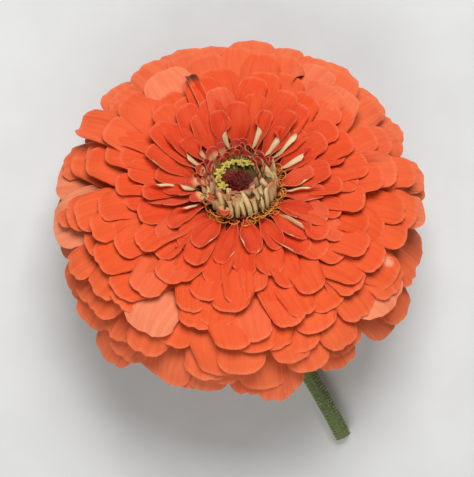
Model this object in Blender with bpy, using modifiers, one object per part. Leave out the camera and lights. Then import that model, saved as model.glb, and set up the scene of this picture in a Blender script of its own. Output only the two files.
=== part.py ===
"""A zinnia bloom on a short cut stem, laid down on its back petals and its stem.

Every shape is worked out in the bloom's own frame: +Z runs up the bloom's axis, -Y is its front
and z = 0 is the level of the lowest rows' claws. pose() then leans the bloom and lifts it to
where it lies. Units are metres; lengths are given in millimetres through mm().
"""

import math

import bmesh
import bpy
import numpy as np
from mathutils import Matrix


def mm(*values):
    """Millimetres to metres: a number for one value, a tuple for several."""
    scaled = tuple(value * 0.001 for value in values)
    return scaled if len(scaled) > 1 else scaled[0]


# How the bloom lies
BLOOM_AT = mm(-0.2, 7.2, 29.8)
LEAN_BACK = math.radians(30.0)

# Ray florets: knots along the spiral, from the innermost floret (0) to the outermost (1)
FLORETS = 150
GOLDEN_ANGLE = math.radians(137.50776)
SPIRAL_SEED = 11
KNOTS = (0.0, 0.2, 0.4, 0.6, 0.8, 1.0)
ROOT_R = mm(10.6, 11.0, 11.5, 11.5, 10.5, 8.5)
ROOT_Z = mm(16.6, 13.8, 10.0, 5.0, -0.5, -5.6)
FRONT_BEND_R = mm(15.0, 20.0, 28.0, 34.0, 39.0, 42.0)
FRONT_BEND_Z = mm(18.5, 17.7, 16.2, 14.0, 12.2, 5.0)
FRONT_TIP_R = mm(22.3, 29.5, 38.0, 45.0, 50.3, 52.3)
FRONT_TIP_Z = mm(17.6, 15.8, 12.7, 8.5, 1.5, -10.5)
BACK_BEND_R = mm(13.5, 19.0, 27.0, 34.0, 39.0, 39.0)
BACK_BEND_Z = mm(20.5, 22.5, 23.0, 20.5, 13.5, 5.0)
BACK_TIP_R = mm(19.0, 29.0, 40.5, 50.3, 54.3, 50.5)
BACK_TIP_Z = mm(24.0, 25.0, 22.5, 16.5, 6.0, -9.0)
BLADE_WIDTH = mm(7.2, 9.0, 11.2, 13.2, 14.8, 15.6)
BLADE_THICKNESS = mm(0.7)
CLAW_HALF_WIDTH = mm(1.0)
RIGHT_REACH = 0.018
# The outer florets behind hang lower on the left, because the bloom lies on them there
LIE_DOWN = math.radians(8.0)
LIE_TOWARDS = math.radians(130.0)
LIE_FROM = 0.7
LIE_FULLY = 0.8
# Blade stations, as a share of the length; the last is the nose of the tip
STATIONS = (0.43, 0.76, 0.93, 1.0)
STATION_WIDTH = (0.72, 1.0, 0.74, 0.0)
INNER_UP_TO = 0.15
INNER_STATIONS = (0.12, 0.66, 0.92, 1.0)
INNER_STATION_WIDTH = (0.2, 0.95, 0.74, 0.0)
SKIRT_FROM = 0.86
SKIRT_STATIONS = (0.0, 0.45, 0.76, 0.93, 1.0)
SKIRT_STATION_WIDTH = (0.0, 0.75, 1.0, 0.74, 0.0)

# Core that the ray florets grow from
CORE_R = mm(0.0, 11.2, 16.0, 20.5, 26.5, 31.5, 36.0, 38.0, 37.0, 30.0, 18.0, 9.3, 9.3, 0.0)
CORE_Z = mm(17.0, 17.0, 16.9, 16.0, 13.7, 10.6, 6.6, 4.0, 0.6, -1.4, -3.0, -6.0, -8.0, -8.0)
CORE_SIDES = 28
CORE_RISE_FROM_Z = mm(4.0)
CORE_BACK_RISE_R = mm(11.2, 16.0, 20.5, 26.5, 31.5, 36.0)
CORE_BACK_RISE = mm(0.0, 2.6, 4.4, 5.4, 4.8, 2.6)

# Crown of young florets round the eye
CROWN_LEAN = math.radians(14.0)
CROWN_LEAN_TOWARDS = math.radians(130.0)
CROWN_R = mm(0.0, 9.9, 10.3, 9.7, 8.6, 7.4, 5.6, 0.0)
CROWN_Z = mm(17.3, 17.3, 19.6, 21.6, 22.4, 21.8, 18.2, 18.2)
CROWN_SIDES = 16
HOODS_OUTER = 20
HOOD_OUTER_FEET = (mm(9.9, 18.6), mm(9.6, 22.2), mm(8.9, 23.5))
HOOD_OUTER_WIDTHS = mm(2.3, 2.1)
HOODS_INNER = 12
HOOD_INNER_FEET = (mm(7.9, 20.4), mm(7.5, 22.8), mm(6.9, 23.7))
HOOD_INNER_WIDTHS = mm(2.0, 2.0)
HOOD_THICKNESS = mm(0.9)

# Eye: a ring of open disc florets round a tuft of chaff
RING_R = mm(5.2, 5.2, 3.3, 3.3, 5.2)
RING_Z = mm(19.3, 18.5, 18.5, 19.5, 19.3)
RING_FLORETS = 12
STAR_TUBE_R = mm(0.45)
STAR_R = mm(1.1)
STAR_HEIGHT = mm(2.4)
STAR_RING_R = mm(4.35)
STAR_Z = mm(20.3)
STAR_TILT = math.radians(12.0)
CHAFF_R = mm(0.0, 1.4, 2.6, 2.95, 0.0)
CHAFF_Z = mm(20.8, 20.6, 19.9, 18.5, 18.5)
CHAFF_SIDES = 10
CHAFF_SCALES = 14
CHAFF_SPREAD = mm(2.5)
CHAFF_SCALE_FOOT = mm(19.1)
CHAFF_SCALE_TIP = mm(22.3)
CHAFF_SCALE_NOSE = mm(0.6)
CHAFF_DOME = 0.2
CHAFF_SPLAY = 1.1
CHAFF_SCALE_WIDTH = mm(1.3)
CHAFF_THICKNESS = mm(0.6)

# Involucre: the green cup of overlapping bracts
CUP_R = mm(0.0, 9.6, 9.9, 8.8, 6.6, 4.6, 0.0)
CUP_Z = mm(-8.3, -8.3, -10.0, -13.5, -17.0, -19.0, -19.0)
CUP_SIDES = 16
BRACT_ROWS = 3
BRACTS_A_ROW = 8
CUP_BRACT_FOOT = mm(-18.2)
BRACT_SEED = 5
BRACT_STEP = mm(2.7)
BRACT_LENGTH = mm(4.4)
BRACT_STATIONS = (0.0, 0.7, 1.0)
BRACT_WIDTHS = mm(7.0, 7.4)
BRACT_PROUD = mm(-0.5, 0.4, 0.7)
BRACT_SCATTER = 0.08
BRACT_THICKNESS = mm(0.8)

# Stem
STEM_R = mm(2.3)
STEM_NECK_R = mm(3.4)
STEM_TOP_Z = mm(-19.5)
STEM_FIRST_REACH = mm(14.0)
STEM_LAST_REACH = mm(11.0, -22.0, -3.0)
STEM_CUT_END = mm(30.6, -57.6, 2.1)
STEM_POINTS = 16
STEM_FLARE = 6
FLOOR_CUTTER_SIZE = mm(400.0)

MERGE_DISTANCE = mm(0.05)
SHARP_FROM = math.radians(40.0)


def clear_scene():
    for old in list(bpy.data.objects):
        bpy.data.objects.remove(old, do_unlink=True)


def dress(obj, name, colour, roughness):
    """Gives the piece a Principled finish of one plain colour, and smooth shading."""
    finish = bpy.data.materials.new(name)
    finish.use_nodes = True
    shader = finish.node_tree.nodes["Principled BSDF"]
    shader.inputs["Base Color"].default_value = (*colour, 1.0)
    shader.inputs["Roughness"].default_value = roughness
    shader.inputs["Metallic"].default_value = 0.0
    obj.data.materials.clear()
    obj.data.materials.append(finish)
    obj.data.shade_smooth()
    obj.data.set_sharp_from_angle(angle=SHARP_FROM)


def pose(points):
    """Leans points of the bloom's frame back about X and lifts them to where the bloom lies."""
    points = np.asarray(points, float)
    c, s = math.cos(LEAN_BACK), math.sin(LEAN_BACK)
    x, y, z = points[..., 0], points[..., 1], points[..., 2]
    leant = np.stack([x, c * y + s * z, c * z - s * y], axis=-1)
    return leant + np.array(BLOOM_AT)


def mesh_object(name, verts, faces, collection):
    mesh = bpy.data.meshes.new(name)
    mesh.from_pydata([tuple(v) for v in verts], [], [tuple(f) for f in faces])
    made = bpy.data.objects.new(name, mesh)
    collection.objects.link(made)
    return made


def face_outwards(obj):
    """Turns a closed mesh's faces outwards."""
    work = bmesh.new()
    work.from_mesh(obj.data)
    bmesh.ops.recalc_face_normals(work, faces=work.faces)
    work.to_mesh(obj.data)
    work.free()


def blade(name, left, right, up, nose, thickness, collection):
    """A flat closed blade: four corners at each station, joined to the next station's.

    left and right are the blade's edges at each station and up is its unit normal there. nose is
    the middle of the tip, beyond the last station. Both faces are split along the same diagonal,
    so that they never cross.
    """
    half = 0.5 * thickness * up
    verts = np.stack([left + half, right + half, right - half, left - half], axis=1)
    verts = np.concatenate([verts.reshape(-1, 3), [nose + half[-1], nose - half[-1]]])
    count = len(left)
    faces = [(0, 3, 2), (0, 2, 1)]
    for i in range(count - 1):
        a, b, c, d = (4 * i + k for k in range(4))
        e, f, g, h = (4 * i + 4 + k for k in range(4))
        faces += [(a, b, f), (a, f, e), (d, g, c), (d, h, g)]
        faces += [(b, c, g), (b, g, f), (a, e, h), (a, h, d)]
    a, b, c, d, top, under = (4 * count - 4 + k for k in range(6))
    faces += [(a, b, top), (d, under, c)]
    faces += [(b, c, under), (b, under, top), (a, top, under), (a, under, d)]
    face_outwards(mesh_object(name, pose(verts), faces, collection))


def turned(name, radii, heights, sides, collection, shear=None):
    """A turned solid: the profile of radii and heights screwed once round the bloom's axis."""
    profile = [(r, 0.0, z) for r, z in zip(radii, heights)]
    edges = [(i, i + 1) for i in range(len(profile) - 1)]
    mesh = bpy.data.meshes.new(name)
    mesh.from_pydata(profile, edges, [])
    made = bpy.data.objects.new(name, mesh)
    collection.objects.link(made)
    screw = made.modifiers.new("turn", "SCREW")
    screw.steps = screw.render_steps = sides
    screw.use_merge_vertices = True
    screw.merge_threshold = MERGE_DISTANCE
    apply_modifiers(made)
    coords = np.empty(3 * len(made.data.vertices))
    made.data.vertices.foreach_get("co", coords)
    coords = coords.reshape(-1, 3)
    if shear is not None:
        coords = shear(coords)
    made.data.vertices.foreach_set("co", pose(coords).ravel())
    made.data.update()
    face_outwards(made)
    return made


def apply_modifiers(obj):
    graph = bpy.context.evaluated_depsgraph_get()
    baked = bpy.data.meshes.new_from_object(obj.evaluated_get(graph))
    obj.modifiers.clear()
    obj.data = baked


def join(obj, collection):
    """Joins a collection's pieces to obj with one Boolean union, and removes them."""
    union = obj.modifiers.new("join", "BOOLEAN")
    union.operation = "UNION"
    union.solver = "EXACT"
    union.operand_type = "COLLECTION"
    union.collection = collection
    apply_modifiers(obj)
    for old in list(collection.objects):
        bpy.data.objects.remove(old, do_unlink=True)
    bpy.data.collections.remove(collection)
    keep_outer_skin(obj)


def keep_outer_skin(obj):
    """Drops closed scraps and the skins of sealed hollows: the shell of largest volume stays."""
    work = bmesh.new()
    work.from_mesh(obj.data)
    work.faces.ensure_lookup_table()
    seen = set()
    shells = []
    for start in work.faces:
        if start.index in seen:
            continue
        seen.add(start.index)
        shell, open_faces = [], [start]
        while open_faces:
            face = open_faces.pop()
            shell.append(face)
            for edge in face.edges:
                if len(edge.link_faces) != 2:
                    continue
                for near in edge.link_faces:
                    if near.index not in seen:
                        seen.add(near.index)
                        open_faces.append(near)
        shells.append(shell)
    shells.sort(key=lambda shell: -len(shell))
    spare = [face for shell in shells[1:] for face in shell]
    bmesh.ops.delete(work, geom=spare, context="FACES")
    work.to_mesh(obj.data)
    work.free()


def helpers(name):
    """A collection for pieces that are joined into another and then removed."""
    made = bpy.data.collections.new(name)
    bpy.context.scene.collection.children.link(made)
    return made


def cut_at_floor(obj):
    """Gives the piece its flat spot where it presses on the surface it lies on."""
    bpy.ops.mesh.primitive_cube_add(size=FLOOR_CUTTER_SIZE, location=(0, 0, -FLOOR_CUTTER_SIZE / 2))
    floor = bpy.context.active_object
    floor.hide_render = True
    floor.display_type = "WIRE"
    cut = obj.modifiers.new("floor", "BOOLEAN")
    cut.operation = "DIFFERENCE"
    cut.solver = "EXACT"
    cut.object = floor
    apply_modifiers(obj)
    bpy.data.objects.remove(floor, do_unlink=True)
    keep_outer_skin(obj)


def spiral():
    """Each ray floret's place and growth, from the innermost to the outermost.

    Florets follow one another by the golden angle. Their sizes come from the knots, front and
    back knots mixed by how far round the floret sits, and small draws vary them.
    """
    draw = np.random.default_rng(SPIRAL_SEED)
    t = np.arange(FLORETS) / (FLORETS - 1)
    az = np.arange(FLORETS) * GOLDEN_ANGLE + draw.normal(0, math.radians(2.0), FLORETS)
    back = 0.5 + 0.5 * np.sin(az)

    def knot(values):
        return np.interp(t, KNOTS, values)

    def mix(front, rear):
        return knot(front) * (1 - back) + knot(rear) * back

    reach = (1 + draw.normal(0, 0.03, FLORETS)) * (1 + RIGHT_REACH * np.cos(az) * t)
    outer = np.clip((t - LIE_FROM) / (LIE_FULLY - LIE_FROM), 0, 1)
    lowered = LIE_DOWN * outer * np.maximum(np.cos(az - LIE_TOWARDS), 0) ** 4
    return {
        "t": t,
        "az": az,
        "root_r": knot(ROOT_R),
        "root_z": knot(ROOT_Z),
        "bend_r": mix(FRONT_BEND_R, BACK_BEND_R),
        "bend_z": mix(FRONT_BEND_Z, BACK_BEND_Z),
        "tip_r": mix(FRONT_TIP_R, BACK_TIP_R),
        "tip_z": mix(FRONT_TIP_Z, BACK_TIP_Z),
        "reach": reach,
        "width": knot(BLADE_WIDTH) * (1 + draw.normal(0, 0.06, FLORETS)),
        "raise": draw.normal(0, math.radians(1.5), FLORETS) - lowered,
        "roll": draw.normal(0, math.radians(6.0), FLORETS),
        "sway": draw.normal(0, math.radians(3.5), FLORETS),
    }


def blade_frames(florets, i, stations, station_width):
    """Left edge, right edge, unit normal and nose of floret i, in the bloom's frame.

    The midline is a quadratic Bezier from root over bend to tip in the floret's half plane. The
    blade lies across it, turned a little about it by roll, and the half plane is swung by sway.
    """
    f = {name: values[i] for name, values in florets.items()}
    share = np.array(stations)
    s = share * f["reach"]
    r = (1 - s) ** 2 * f["root_r"] + 2 * s * (1 - s) * f["bend_r"] + s**2 * f["tip_r"]
    z = (1 - s) ** 2 * f["root_z"] + 2 * s * (1 - s) * f["bend_z"] + s**2 * f["tip_z"]
    dr = 2 * (1 - s) * (f["bend_r"] - f["root_r"]) + 2 * s * (f["tip_r"] - f["bend_r"])
    dz = 2 * (1 - s) * (f["bend_z"] - f["root_z"]) + 2 * s * (f["tip_z"] - f["bend_z"])
    c, sn = math.cos(f["raise"]), math.sin(f["raise"])
    r_out, z_out = r - f["root_r"], z - f["root_z"]
    r, z = f["root_r"] + c * r_out - sn * z_out, f["root_z"] + sn * r_out + c * z_out
    dr, dz = c * dr - sn * dz, sn * dr + c * dz
    length = np.hypot(dr, dz)
    dr, dz = dr / length, dz / length
    half = CLAW_HALF_WIDTH + np.array(station_width) * (f["width"] / 2 - CLAW_HALF_WIDTH)
    turn = f["az"] + f["sway"] * share**1.5
    out = np.stack([np.cos(turn), np.sin(turn), 0 * turn], axis=-1)
    across = np.stack([-np.sin(turn), np.cos(turn), 0 * turn], axis=-1)
    axis = np.array([0.0, 0.0, 1.0])
    middle = r[:, None] * out + z[:, None] * axis
    normal = dr[:, None] * axis - dz[:, None] * out
    roll = (f["roll"] * share)[:, None]
    side = np.cos(roll) * across + np.sin(roll) * normal
    up = np.cos(roll) * normal - np.sin(roll) * across
    left, right = middle - side * half[:, None], middle + side * half[:, None]
    return left[:-1], right[:-1], up[:-1], middle[-1]


def raise_back(points):
    """Lifts the core's upper side towards the back, where the petals stand higher."""
    r = np.hypot(points[:, 0], points[:, 1])
    back = 0.5 + 0.5 * points[:, 1] / np.maximum(r, MERGE_DISTANCE)
    upper = np.clip(points[:, 2] / CORE_RISE_FROM_Z, 0, 1)
    points[:, 2] += back * upper * np.interp(r, CORE_BACK_RISE_R, CORE_BACK_RISE)
    return points


def build_ray_florets(collection):
    """The coral petals, in spiral layers, grown from one core."""
    core = turned("ray_florets", CORE_R, CORE_Z, CORE_SIDES, collection, raise_back)
    petals = helpers("petals")
    florets = spiral()
    for i, t in enumerate(florets["t"]):
        if t < INNER_UP_TO:
            shape = blade_frames(florets, i, INNER_STATIONS, INNER_STATION_WIDTH)
        elif t < SKIRT_FROM:
            shape = blade_frames(florets, i, STATIONS, STATION_WIDTH)
        else:
            shape = blade_frames(florets, i, SKIRT_STATIONS, SKIRT_STATION_WIDTH)
        blade("petal", *shape, BLADE_THICKNESS, petals)
    join(core, petals)
    cut_at_floor(core)
    dress(core, "coral_petal", (0.80, 0.12, 0.035), 0.6)


def lean_crown(points):
    """Tilts the crown towards the back left, more so with height, about the flat face it sits on."""
    foot = CROWN_Z[0]
    rise = points[..., 2] - foot
    full = np.clip(rise / (CROWN_Z[2] - foot), 0, 1) * math.tan(CROWN_LEAN)
    towards = np.array([math.cos(CROWN_LEAN_TOWARDS), math.sin(CROWN_LEAN_TOWARDS)])
    leant = points.copy()
    leant[..., :2] += (rise * full)[..., None] * towards
    leant[..., 2] -= points[..., :2] @ towards * full
    return leant


def as_it_is(points):
    return points


def upright_blade(name, az, feet, widths, thickness, collection, bend=as_it_is):
    """A narrow blade in a half plane of the axis: feet are its stations' radii and heights.

    The last of the feet is the nose of its tip, so there is one width fewer than there are feet.
    """
    out = np.array([math.cos(az), math.sin(az), 0.0])
    across = np.array([-math.sin(az), math.cos(az), 0.0])
    axis = np.array([0.0, 0.0, 1.0])
    feet = np.array(feet)
    middle = feet[:, :1] * out + feet[:, 1:] * axis
    along = np.gradient(feet, axis=0)
    along /= np.linalg.norm(along, axis=1, keepdims=True)
    up = along[:, :1] * axis - along[:, 1:] * out
    half = 0.5 * np.array(widths)[:, None] * across
    left, right = bend(middle[:-1] - half), bend(middle[:-1] + half)
    blade(name, left, right, up[:-1], bend(middle[-1]), thickness, collection)


def build_crown(collection):
    """Young cream florets with coral hoods: an outer and an inner ring that close in at the top."""
    crown = turned("crown_florets", CROWN_R, CROWN_Z, CROWN_SIDES, collection, lean_crown)
    hoods = helpers("hoods")
    rings = (
        (HOODS_OUTER, 0.0, HOOD_OUTER_FEET, HOOD_OUTER_WIDTHS),
        (HOODS_INNER, 0.5, HOOD_INNER_FEET, HOOD_INNER_WIDTHS),
    )
    for count, start, feet, widths in rings:
        for i in range(count):
            az = 2 * math.pi * (i + start) / count
            upright_blade("hood", az, feet, widths, HOOD_THICKNESS, hoods, lean_crown)
    join(crown, hoods)
    dress(crown, "cream_floret", (0.62, 0.36, 0.14), 0.55)


def star_floret(az, collection):
    """An open disc floret: a five-sided trumpet standing in the ring, leaning outwards."""
    bpy.ops.mesh.primitive_cone_add(
        vertices=5, radius1=STAR_TUBE_R, radius2=STAR_R, depth=STAR_HEIGHT
    )
    star = bpy.context.active_object
    for owner in list(star.users_collection):
        owner.objects.unlink(star)
    collection.objects.link(star)
    place = (
        Matrix.Rotation(az, 4, "Z")
        @ Matrix.Translation((STAR_RING_R, 0.0, STAR_Z))
        @ Matrix.Rotation(STAR_TILT, 4, "Y")
    )
    coords = np.array([(place @ vert.co)[:] for vert in star.data.vertices])
    star.data.vertices.foreach_set("co", pose(lean_crown(coords)).ravel())
    star.data.update()


def build_disc_florets(collection):
    """The yellow ring of open disc florets inside the crown."""
    ring = turned("disc_florets", RING_R, RING_Z, CROWN_SIDES, collection, lean_crown)
    stars = helpers("stars")
    for i in range(RING_FLORETS):
        star_floret(2 * math.pi * i / RING_FLORETS, stars)
    join(ring, stars)
    dress(ring, "yellow_floret", (0.55, 0.38, 0.03), 0.5)


def build_chaff(collection):
    """The maroon tuft of chaff scales at the very centre."""
    tuft = turned("chaff", CHAFF_R, CHAFF_Z, CHAFF_SIDES, collection, lean_crown)
    scales = helpers("scales")
    for i in range(CHAFF_SCALES):
        r = CHAFF_SPREAD * math.sqrt((i + 0.5) / CHAFF_SCALES)
        tip_r, tip_z = CHAFF_SPLAY * r, CHAFF_SCALE_TIP - CHAFF_DOME * r
        feet = ((r, CHAFF_SCALE_FOOT), (tip_r, tip_z - CHAFF_SCALE_NOSE), (tip_r, tip_z))
        widths = (CHAFF_SCALE_WIDTH, CHAFF_SCALE_WIDTH)
        az = i * GOLDEN_ANGLE
        upright_blade("scale", az, feet, widths, CHAFF_THICKNESS, scales, lean_crown)
    join(tuft, scales)
    dress(tuft, "maroon_chaff", (0.16, 0.015, 0.01), 0.6)


def build_involucre(collection):
    """The green cup under the petals, covered by rows of rounded bracts."""
    cup = turned("involucre", CUP_R, CUP_Z, CUP_SIDES, collection)
    bracts = helpers("bracts")
    draw = np.random.default_rng(BRACT_SEED)
    for row in range(BRACT_ROWS):
        low = CUP_BRACT_FOOT + row * BRACT_STEP
        heights = low + BRACT_LENGTH * np.array(BRACT_STATIONS)
        radii = np.interp(heights, CUP_Z[-2:0:-1], CUP_R[-2:0:-1])
        widths = np.array(BRACT_WIDTHS) * radii[1] / CUP_R[1]
        for i in range(BRACTS_A_ROW):
            proud = np.array(BRACT_PROUD) * draw.uniform(0.8, 1.2)
            turn = i + 0.5 * row + draw.uniform(-BRACT_SCATTER, BRACT_SCATTER)
            feet = np.stack([radii + proud, heights], axis=1)
            az = 2 * math.pi * turn / BRACTS_A_ROW
            upright_blade("bract", az, feet, widths, BRACT_THICKNESS, bracts)
    join(cup, bracts)
    dress(cup, "green_bract", (0.10, 0.19, 0.05), 0.6)


def stem_route():
    """The stem's centre line: a cubic Bezier out of the cup along the bloom's axis to the cut end."""
    top = pose([0.0, 0.0, STEM_TOP_Z])
    down = pose([0.0, 0.0, STEM_TOP_Z - STEM_FIRST_REACH])
    end = np.array(STEM_CUT_END)
    before = end - np.array(STEM_LAST_REACH)
    s = np.linspace(0, 1, STEM_POINTS)[:, None]
    first, last = (1 - s) ** 3 * top + 3 * s * (1 - s) ** 2 * down, 3 * s**2 * (1 - s) * before
    return first + last + s**3 * end


def build_stem(collection):
    """The cut stem: a tapering tube that curves from the cup to the surface it lies on."""
    points = stem_route()
    curve = bpy.data.curves.new("stem_line", "CURVE")
    curve.dimensions = "3D"
    curve.bevel_depth = STEM_R
    curve.bevel_resolution = 2
    curve.use_fill_caps = True
    spline = curve.splines.new("POLY")
    spline.points.add(len(points) - 1)
    for i, point in enumerate(points):
        spline.points[i].co = (*point, 1.0)
        flare = (1 - i / (len(points) - 1)) ** STEM_FLARE
        spline.points[i].radius = 1 + (STEM_NECK_R / STEM_R - 1) * flare
    line = bpy.data.objects.new("stem_line", curve)
    collection.objects.link(line)
    graph = bpy.context.evaluated_depsgraph_get()
    mesh = bpy.data.meshes.new_from_object(line.evaluated_get(graph))
    stem = bpy.data.objects.new("stem", mesh)
    stem.matrix_world = line.matrix_world
    collection.objects.link(stem)
    bpy.data.objects.remove(line, do_unlink=True)
    work = bmesh.new()
    work.from_mesh(mesh)
    bmesh.ops.remove_doubles(work, verts=work.verts, dist=MERGE_DISTANCE)
    work.to_mesh(mesh)
    work.free()
    face_outwards(stem)
    cut_at_floor(stem)
    dress(stem, "stem_green", (0.10, 0.17, 0.04), 0.6)


def main():
    clear_scene()
    bloom = bpy.data.collections.new("zinnia")
    bpy.context.scene.collection.children.link(bloom)
    build_ray_florets(bloom)
    build_crown(bloom)
    build_disc_florets(bloom)
    build_chaff(bloom)
    build_involucre(bloom)
    build_stem(bloom)


main()
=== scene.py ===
"""Looks of a cut zinnia bloom that lies on its back petals and its stem.

Every petal, floret, scale, thread and hair is a surface worked out with numpy in the bloom's own
frame, as in the part's source: +Z runs up the bloom's axis, -Y is its front and z = 0 is the
level of the lowest rows' claws. pose() leans the bloom back and lifts it to where it lies. Units
are metres; lengths are given in millimetres through mm().
"""

import math

import bpy
import numpy as np
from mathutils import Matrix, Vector


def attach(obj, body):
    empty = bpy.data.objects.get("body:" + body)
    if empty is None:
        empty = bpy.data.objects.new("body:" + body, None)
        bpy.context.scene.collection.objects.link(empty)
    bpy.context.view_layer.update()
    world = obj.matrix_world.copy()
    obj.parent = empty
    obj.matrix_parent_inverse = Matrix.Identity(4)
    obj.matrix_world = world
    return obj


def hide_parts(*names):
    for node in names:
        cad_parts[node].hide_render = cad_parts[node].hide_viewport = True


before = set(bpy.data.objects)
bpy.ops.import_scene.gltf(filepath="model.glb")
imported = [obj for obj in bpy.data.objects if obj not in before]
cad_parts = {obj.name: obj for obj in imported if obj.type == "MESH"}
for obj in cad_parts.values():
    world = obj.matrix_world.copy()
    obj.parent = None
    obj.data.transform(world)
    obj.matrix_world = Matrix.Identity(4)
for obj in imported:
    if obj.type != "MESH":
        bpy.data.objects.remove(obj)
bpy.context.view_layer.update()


def mm(*values):
    """Millimetres to metres: a number for one value, a tuple for several."""
    scaled = tuple(value * 0.001 for value in values)
    return scaled if len(scaled) > 1 else scaled[0]


# How the bloom lies
BLOOM_AT = mm(-0.2, 7.2, 29.8)
LEAN_BACK = math.radians(30.0)
FLOOR_SOFTNESS = mm(0.8)

# Camera: straight above, the height of the view and where its middle falls
VIEW_DISTANCE = mm(500.0)
VIEW_HEIGHT = mm(134.55)
VIEW_AT = mm(-1.05, 1.28)

# Petals: knots along the spiral, from the innermost floret (0) to the outermost (1)
PETALS = 225
GOLDEN_ANGLE = math.radians(137.50776)
PETAL_SEED = 11
# Petals that fill the lowest rows at the front: azimuth in degrees and age
FILLING_PETALS = ((-91.0, 0.96), (-105.0, 0.98), (-118.0, 0.95), (-130.0, 0.98), (-78.0, 0.97), (-98.0, 0.89))
FILLING_SEED = 3
KNOTS = (0.0, 0.2, 0.4, 0.6, 0.8, 1.0)
ROOT_R = mm(10.6, 11.0, 11.5, 11.5, 10.5, 8.5)
ROOT_Z = mm(16.6, 13.8, 10.0, 5.0, -0.5, -5.6)
FRONT_BEND_R = mm(15.0, 20.0, 28.0, 34.0, 39.0, 42.0)
FRONT_BEND_Z = mm(18.5, 17.7, 16.2, 14.0, 12.2, 5.0)
FRONT_TIP_R = mm(22.3, 29.5, 38.0, 45.0, 50.3, 52.3)
FRONT_TIP_Z = mm(17.6, 15.8, 12.7, 8.5, 1.5, -10.5)
BACK_BEND_R = mm(13.5, 19.0, 27.0, 34.0, 39.0, 39.0)
BACK_BEND_Z = mm(20.5, 22.5, 23.0, 20.5, 13.5, 5.0)
BACK_TIP_R = mm(19.0, 29.0, 40.5, 50.3, 54.3, 50.5)
BACK_TIP_Z = mm(24.0, 25.0, 22.5, 16.5, 6.0, -9.0)
PETAL_WIDTH = mm(6.8, 8.2, 10.0, 12.0, 13.5, 14.5)
PETAL_CUP = (0.9, 0.45, 0.05, -0.25, -0.3, -0.25)
PETAL_BASE_ROLL = (2.0, 1.5, 1.0, 0.7, 0.5, 0.4)
RIGHT_REACH = 0.018
LIE_DOWN = math.radians(8.0)
LIE_TOWARDS = math.radians(130.0)
LIE_FROM = 0.7
LIE_FULLY = 0.8
PETAL_CLAW = mm(0.9)
PETAL_THICKNESS = mm(0.4)
PETAL_ROWS = 21
PETAL_COLUMNS = 13
PETAL_GROUPS = {"inner_petals": (0.0, 0.28), "middle_petals": (0.28, 0.62), "outer_petals": (0.62, 1.01)}

# Petals that the photograph shows paler, folded or curled, by where the middle of the blade lies
# in view. A pale one has its paleness, the degrees by which it is raised over its neighbours, how
# much broader it is and how far its tip swings round, in radians
PALE_AT = (
    (mm(-24.5, -20.5), 0.8, 5.0, 1.35, 0.04),
    (mm(-45.5, 1.9), 0.5, 4.0, 1.2, 0.0),
    (mm(-46.6, 7.4), 0.95, 2.0, 1.3, 0.05),
    (mm(-45.0, 18.0), 0.75, 4.0, 1.2, 0.0),
    (mm(36.1, -15.6), 0.85, 4.0, 1.4, 0.08),
    (mm(4.0, 46.0), 0.5, 3.0, 1.25, 0.0),
    (mm(-19.0, 43.0), 0.65, 3.0, 1.25, 0.0),
    (mm(31.0, 37.5), 0.4, 2.0, 1.1, 0.0),
    (mm(48.0, 6.0), 0.5, 2.0, 1.1, 0.0),
)
FOLDED_AT = (mm(16.0, 51.0), mm(-46.0, 35.0), mm(-15.0, 43.5))
# Young petals whose margin curls over and shows the cream underside: middle, curl in radians
CURLED_AT = (
    (mm(1.5, 31.5), 2.9),
    (mm(-5.3, 28.2), 2.7),
    (mm(-12.9, 27.5), 2.6),
    (mm(6.9, 27.0), 3.0),
    (mm(10.7, 24.5), 2.8),
    (mm(17.6, 24.5), 2.5),
    (mm(-20.1, 24.0), 2.3),
    (mm(-13.6, 15.9), 2.4),
    (mm(-22.8, 15.6), 2.0),
    (mm(15.6, 13.0), 1.8),
    (mm(-17.0, 7.0), 1.7),
)
# Petals with a withered brown tip
BROWNED_AT = (mm(-15.0, 41.5),)
# Marks on the petals, seen from above: middle, radius and colour
FLECKS_AT = (
    (mm(-17.4, -1.2), mm(0.5), (0.16, 0.045, 0.020)),
    (mm(40.0, -5.0), mm(1.9), (0.90, 0.34, 0.21)),
)

# Receptacle under the petals
RECEPTACLE_R = mm(0.0, 8.6, 10.2, 10.8, 11.2, 11.2, 10.2, 8.4, 8.2, 0.0)
RECEPTACLE_Z = mm(16.9, 16.9, 16.2, 13.8, 10.0, 5.0, -0.5, -5.6, -8.6, -8.6)
RECEPTACLE_SIDES = 72

# Crown of young florets round the eye
CROWN_LEAN = math.radians(14.0)
CROWN_LEAN_TOWARDS = math.radians(130.0)
CROWN_FOOT_Z = mm(17.3)
CROWN_FULL_Z = mm(19.6)
CROWN_SEED = 23
CROWN_THICKNESS = mm(0.3)
# Each whorl: florets, root (radius, height), bend, tip and how far its tips scatter
CROWN_WHORLS = (
    (34, mm(10.3, 17.0), mm(10.3, 20.4), mm(9.6, 22.9), mm(1.6)),
    (21, mm(9.3, 18.0), mm(9.3, 21.6), mm(8.4, 24.2), mm(1.3)),
    (15, mm(8.2, 18.2), mm(8.0, 21.2), mm(7.2, 23.3), mm(0.8)),
)
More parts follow.
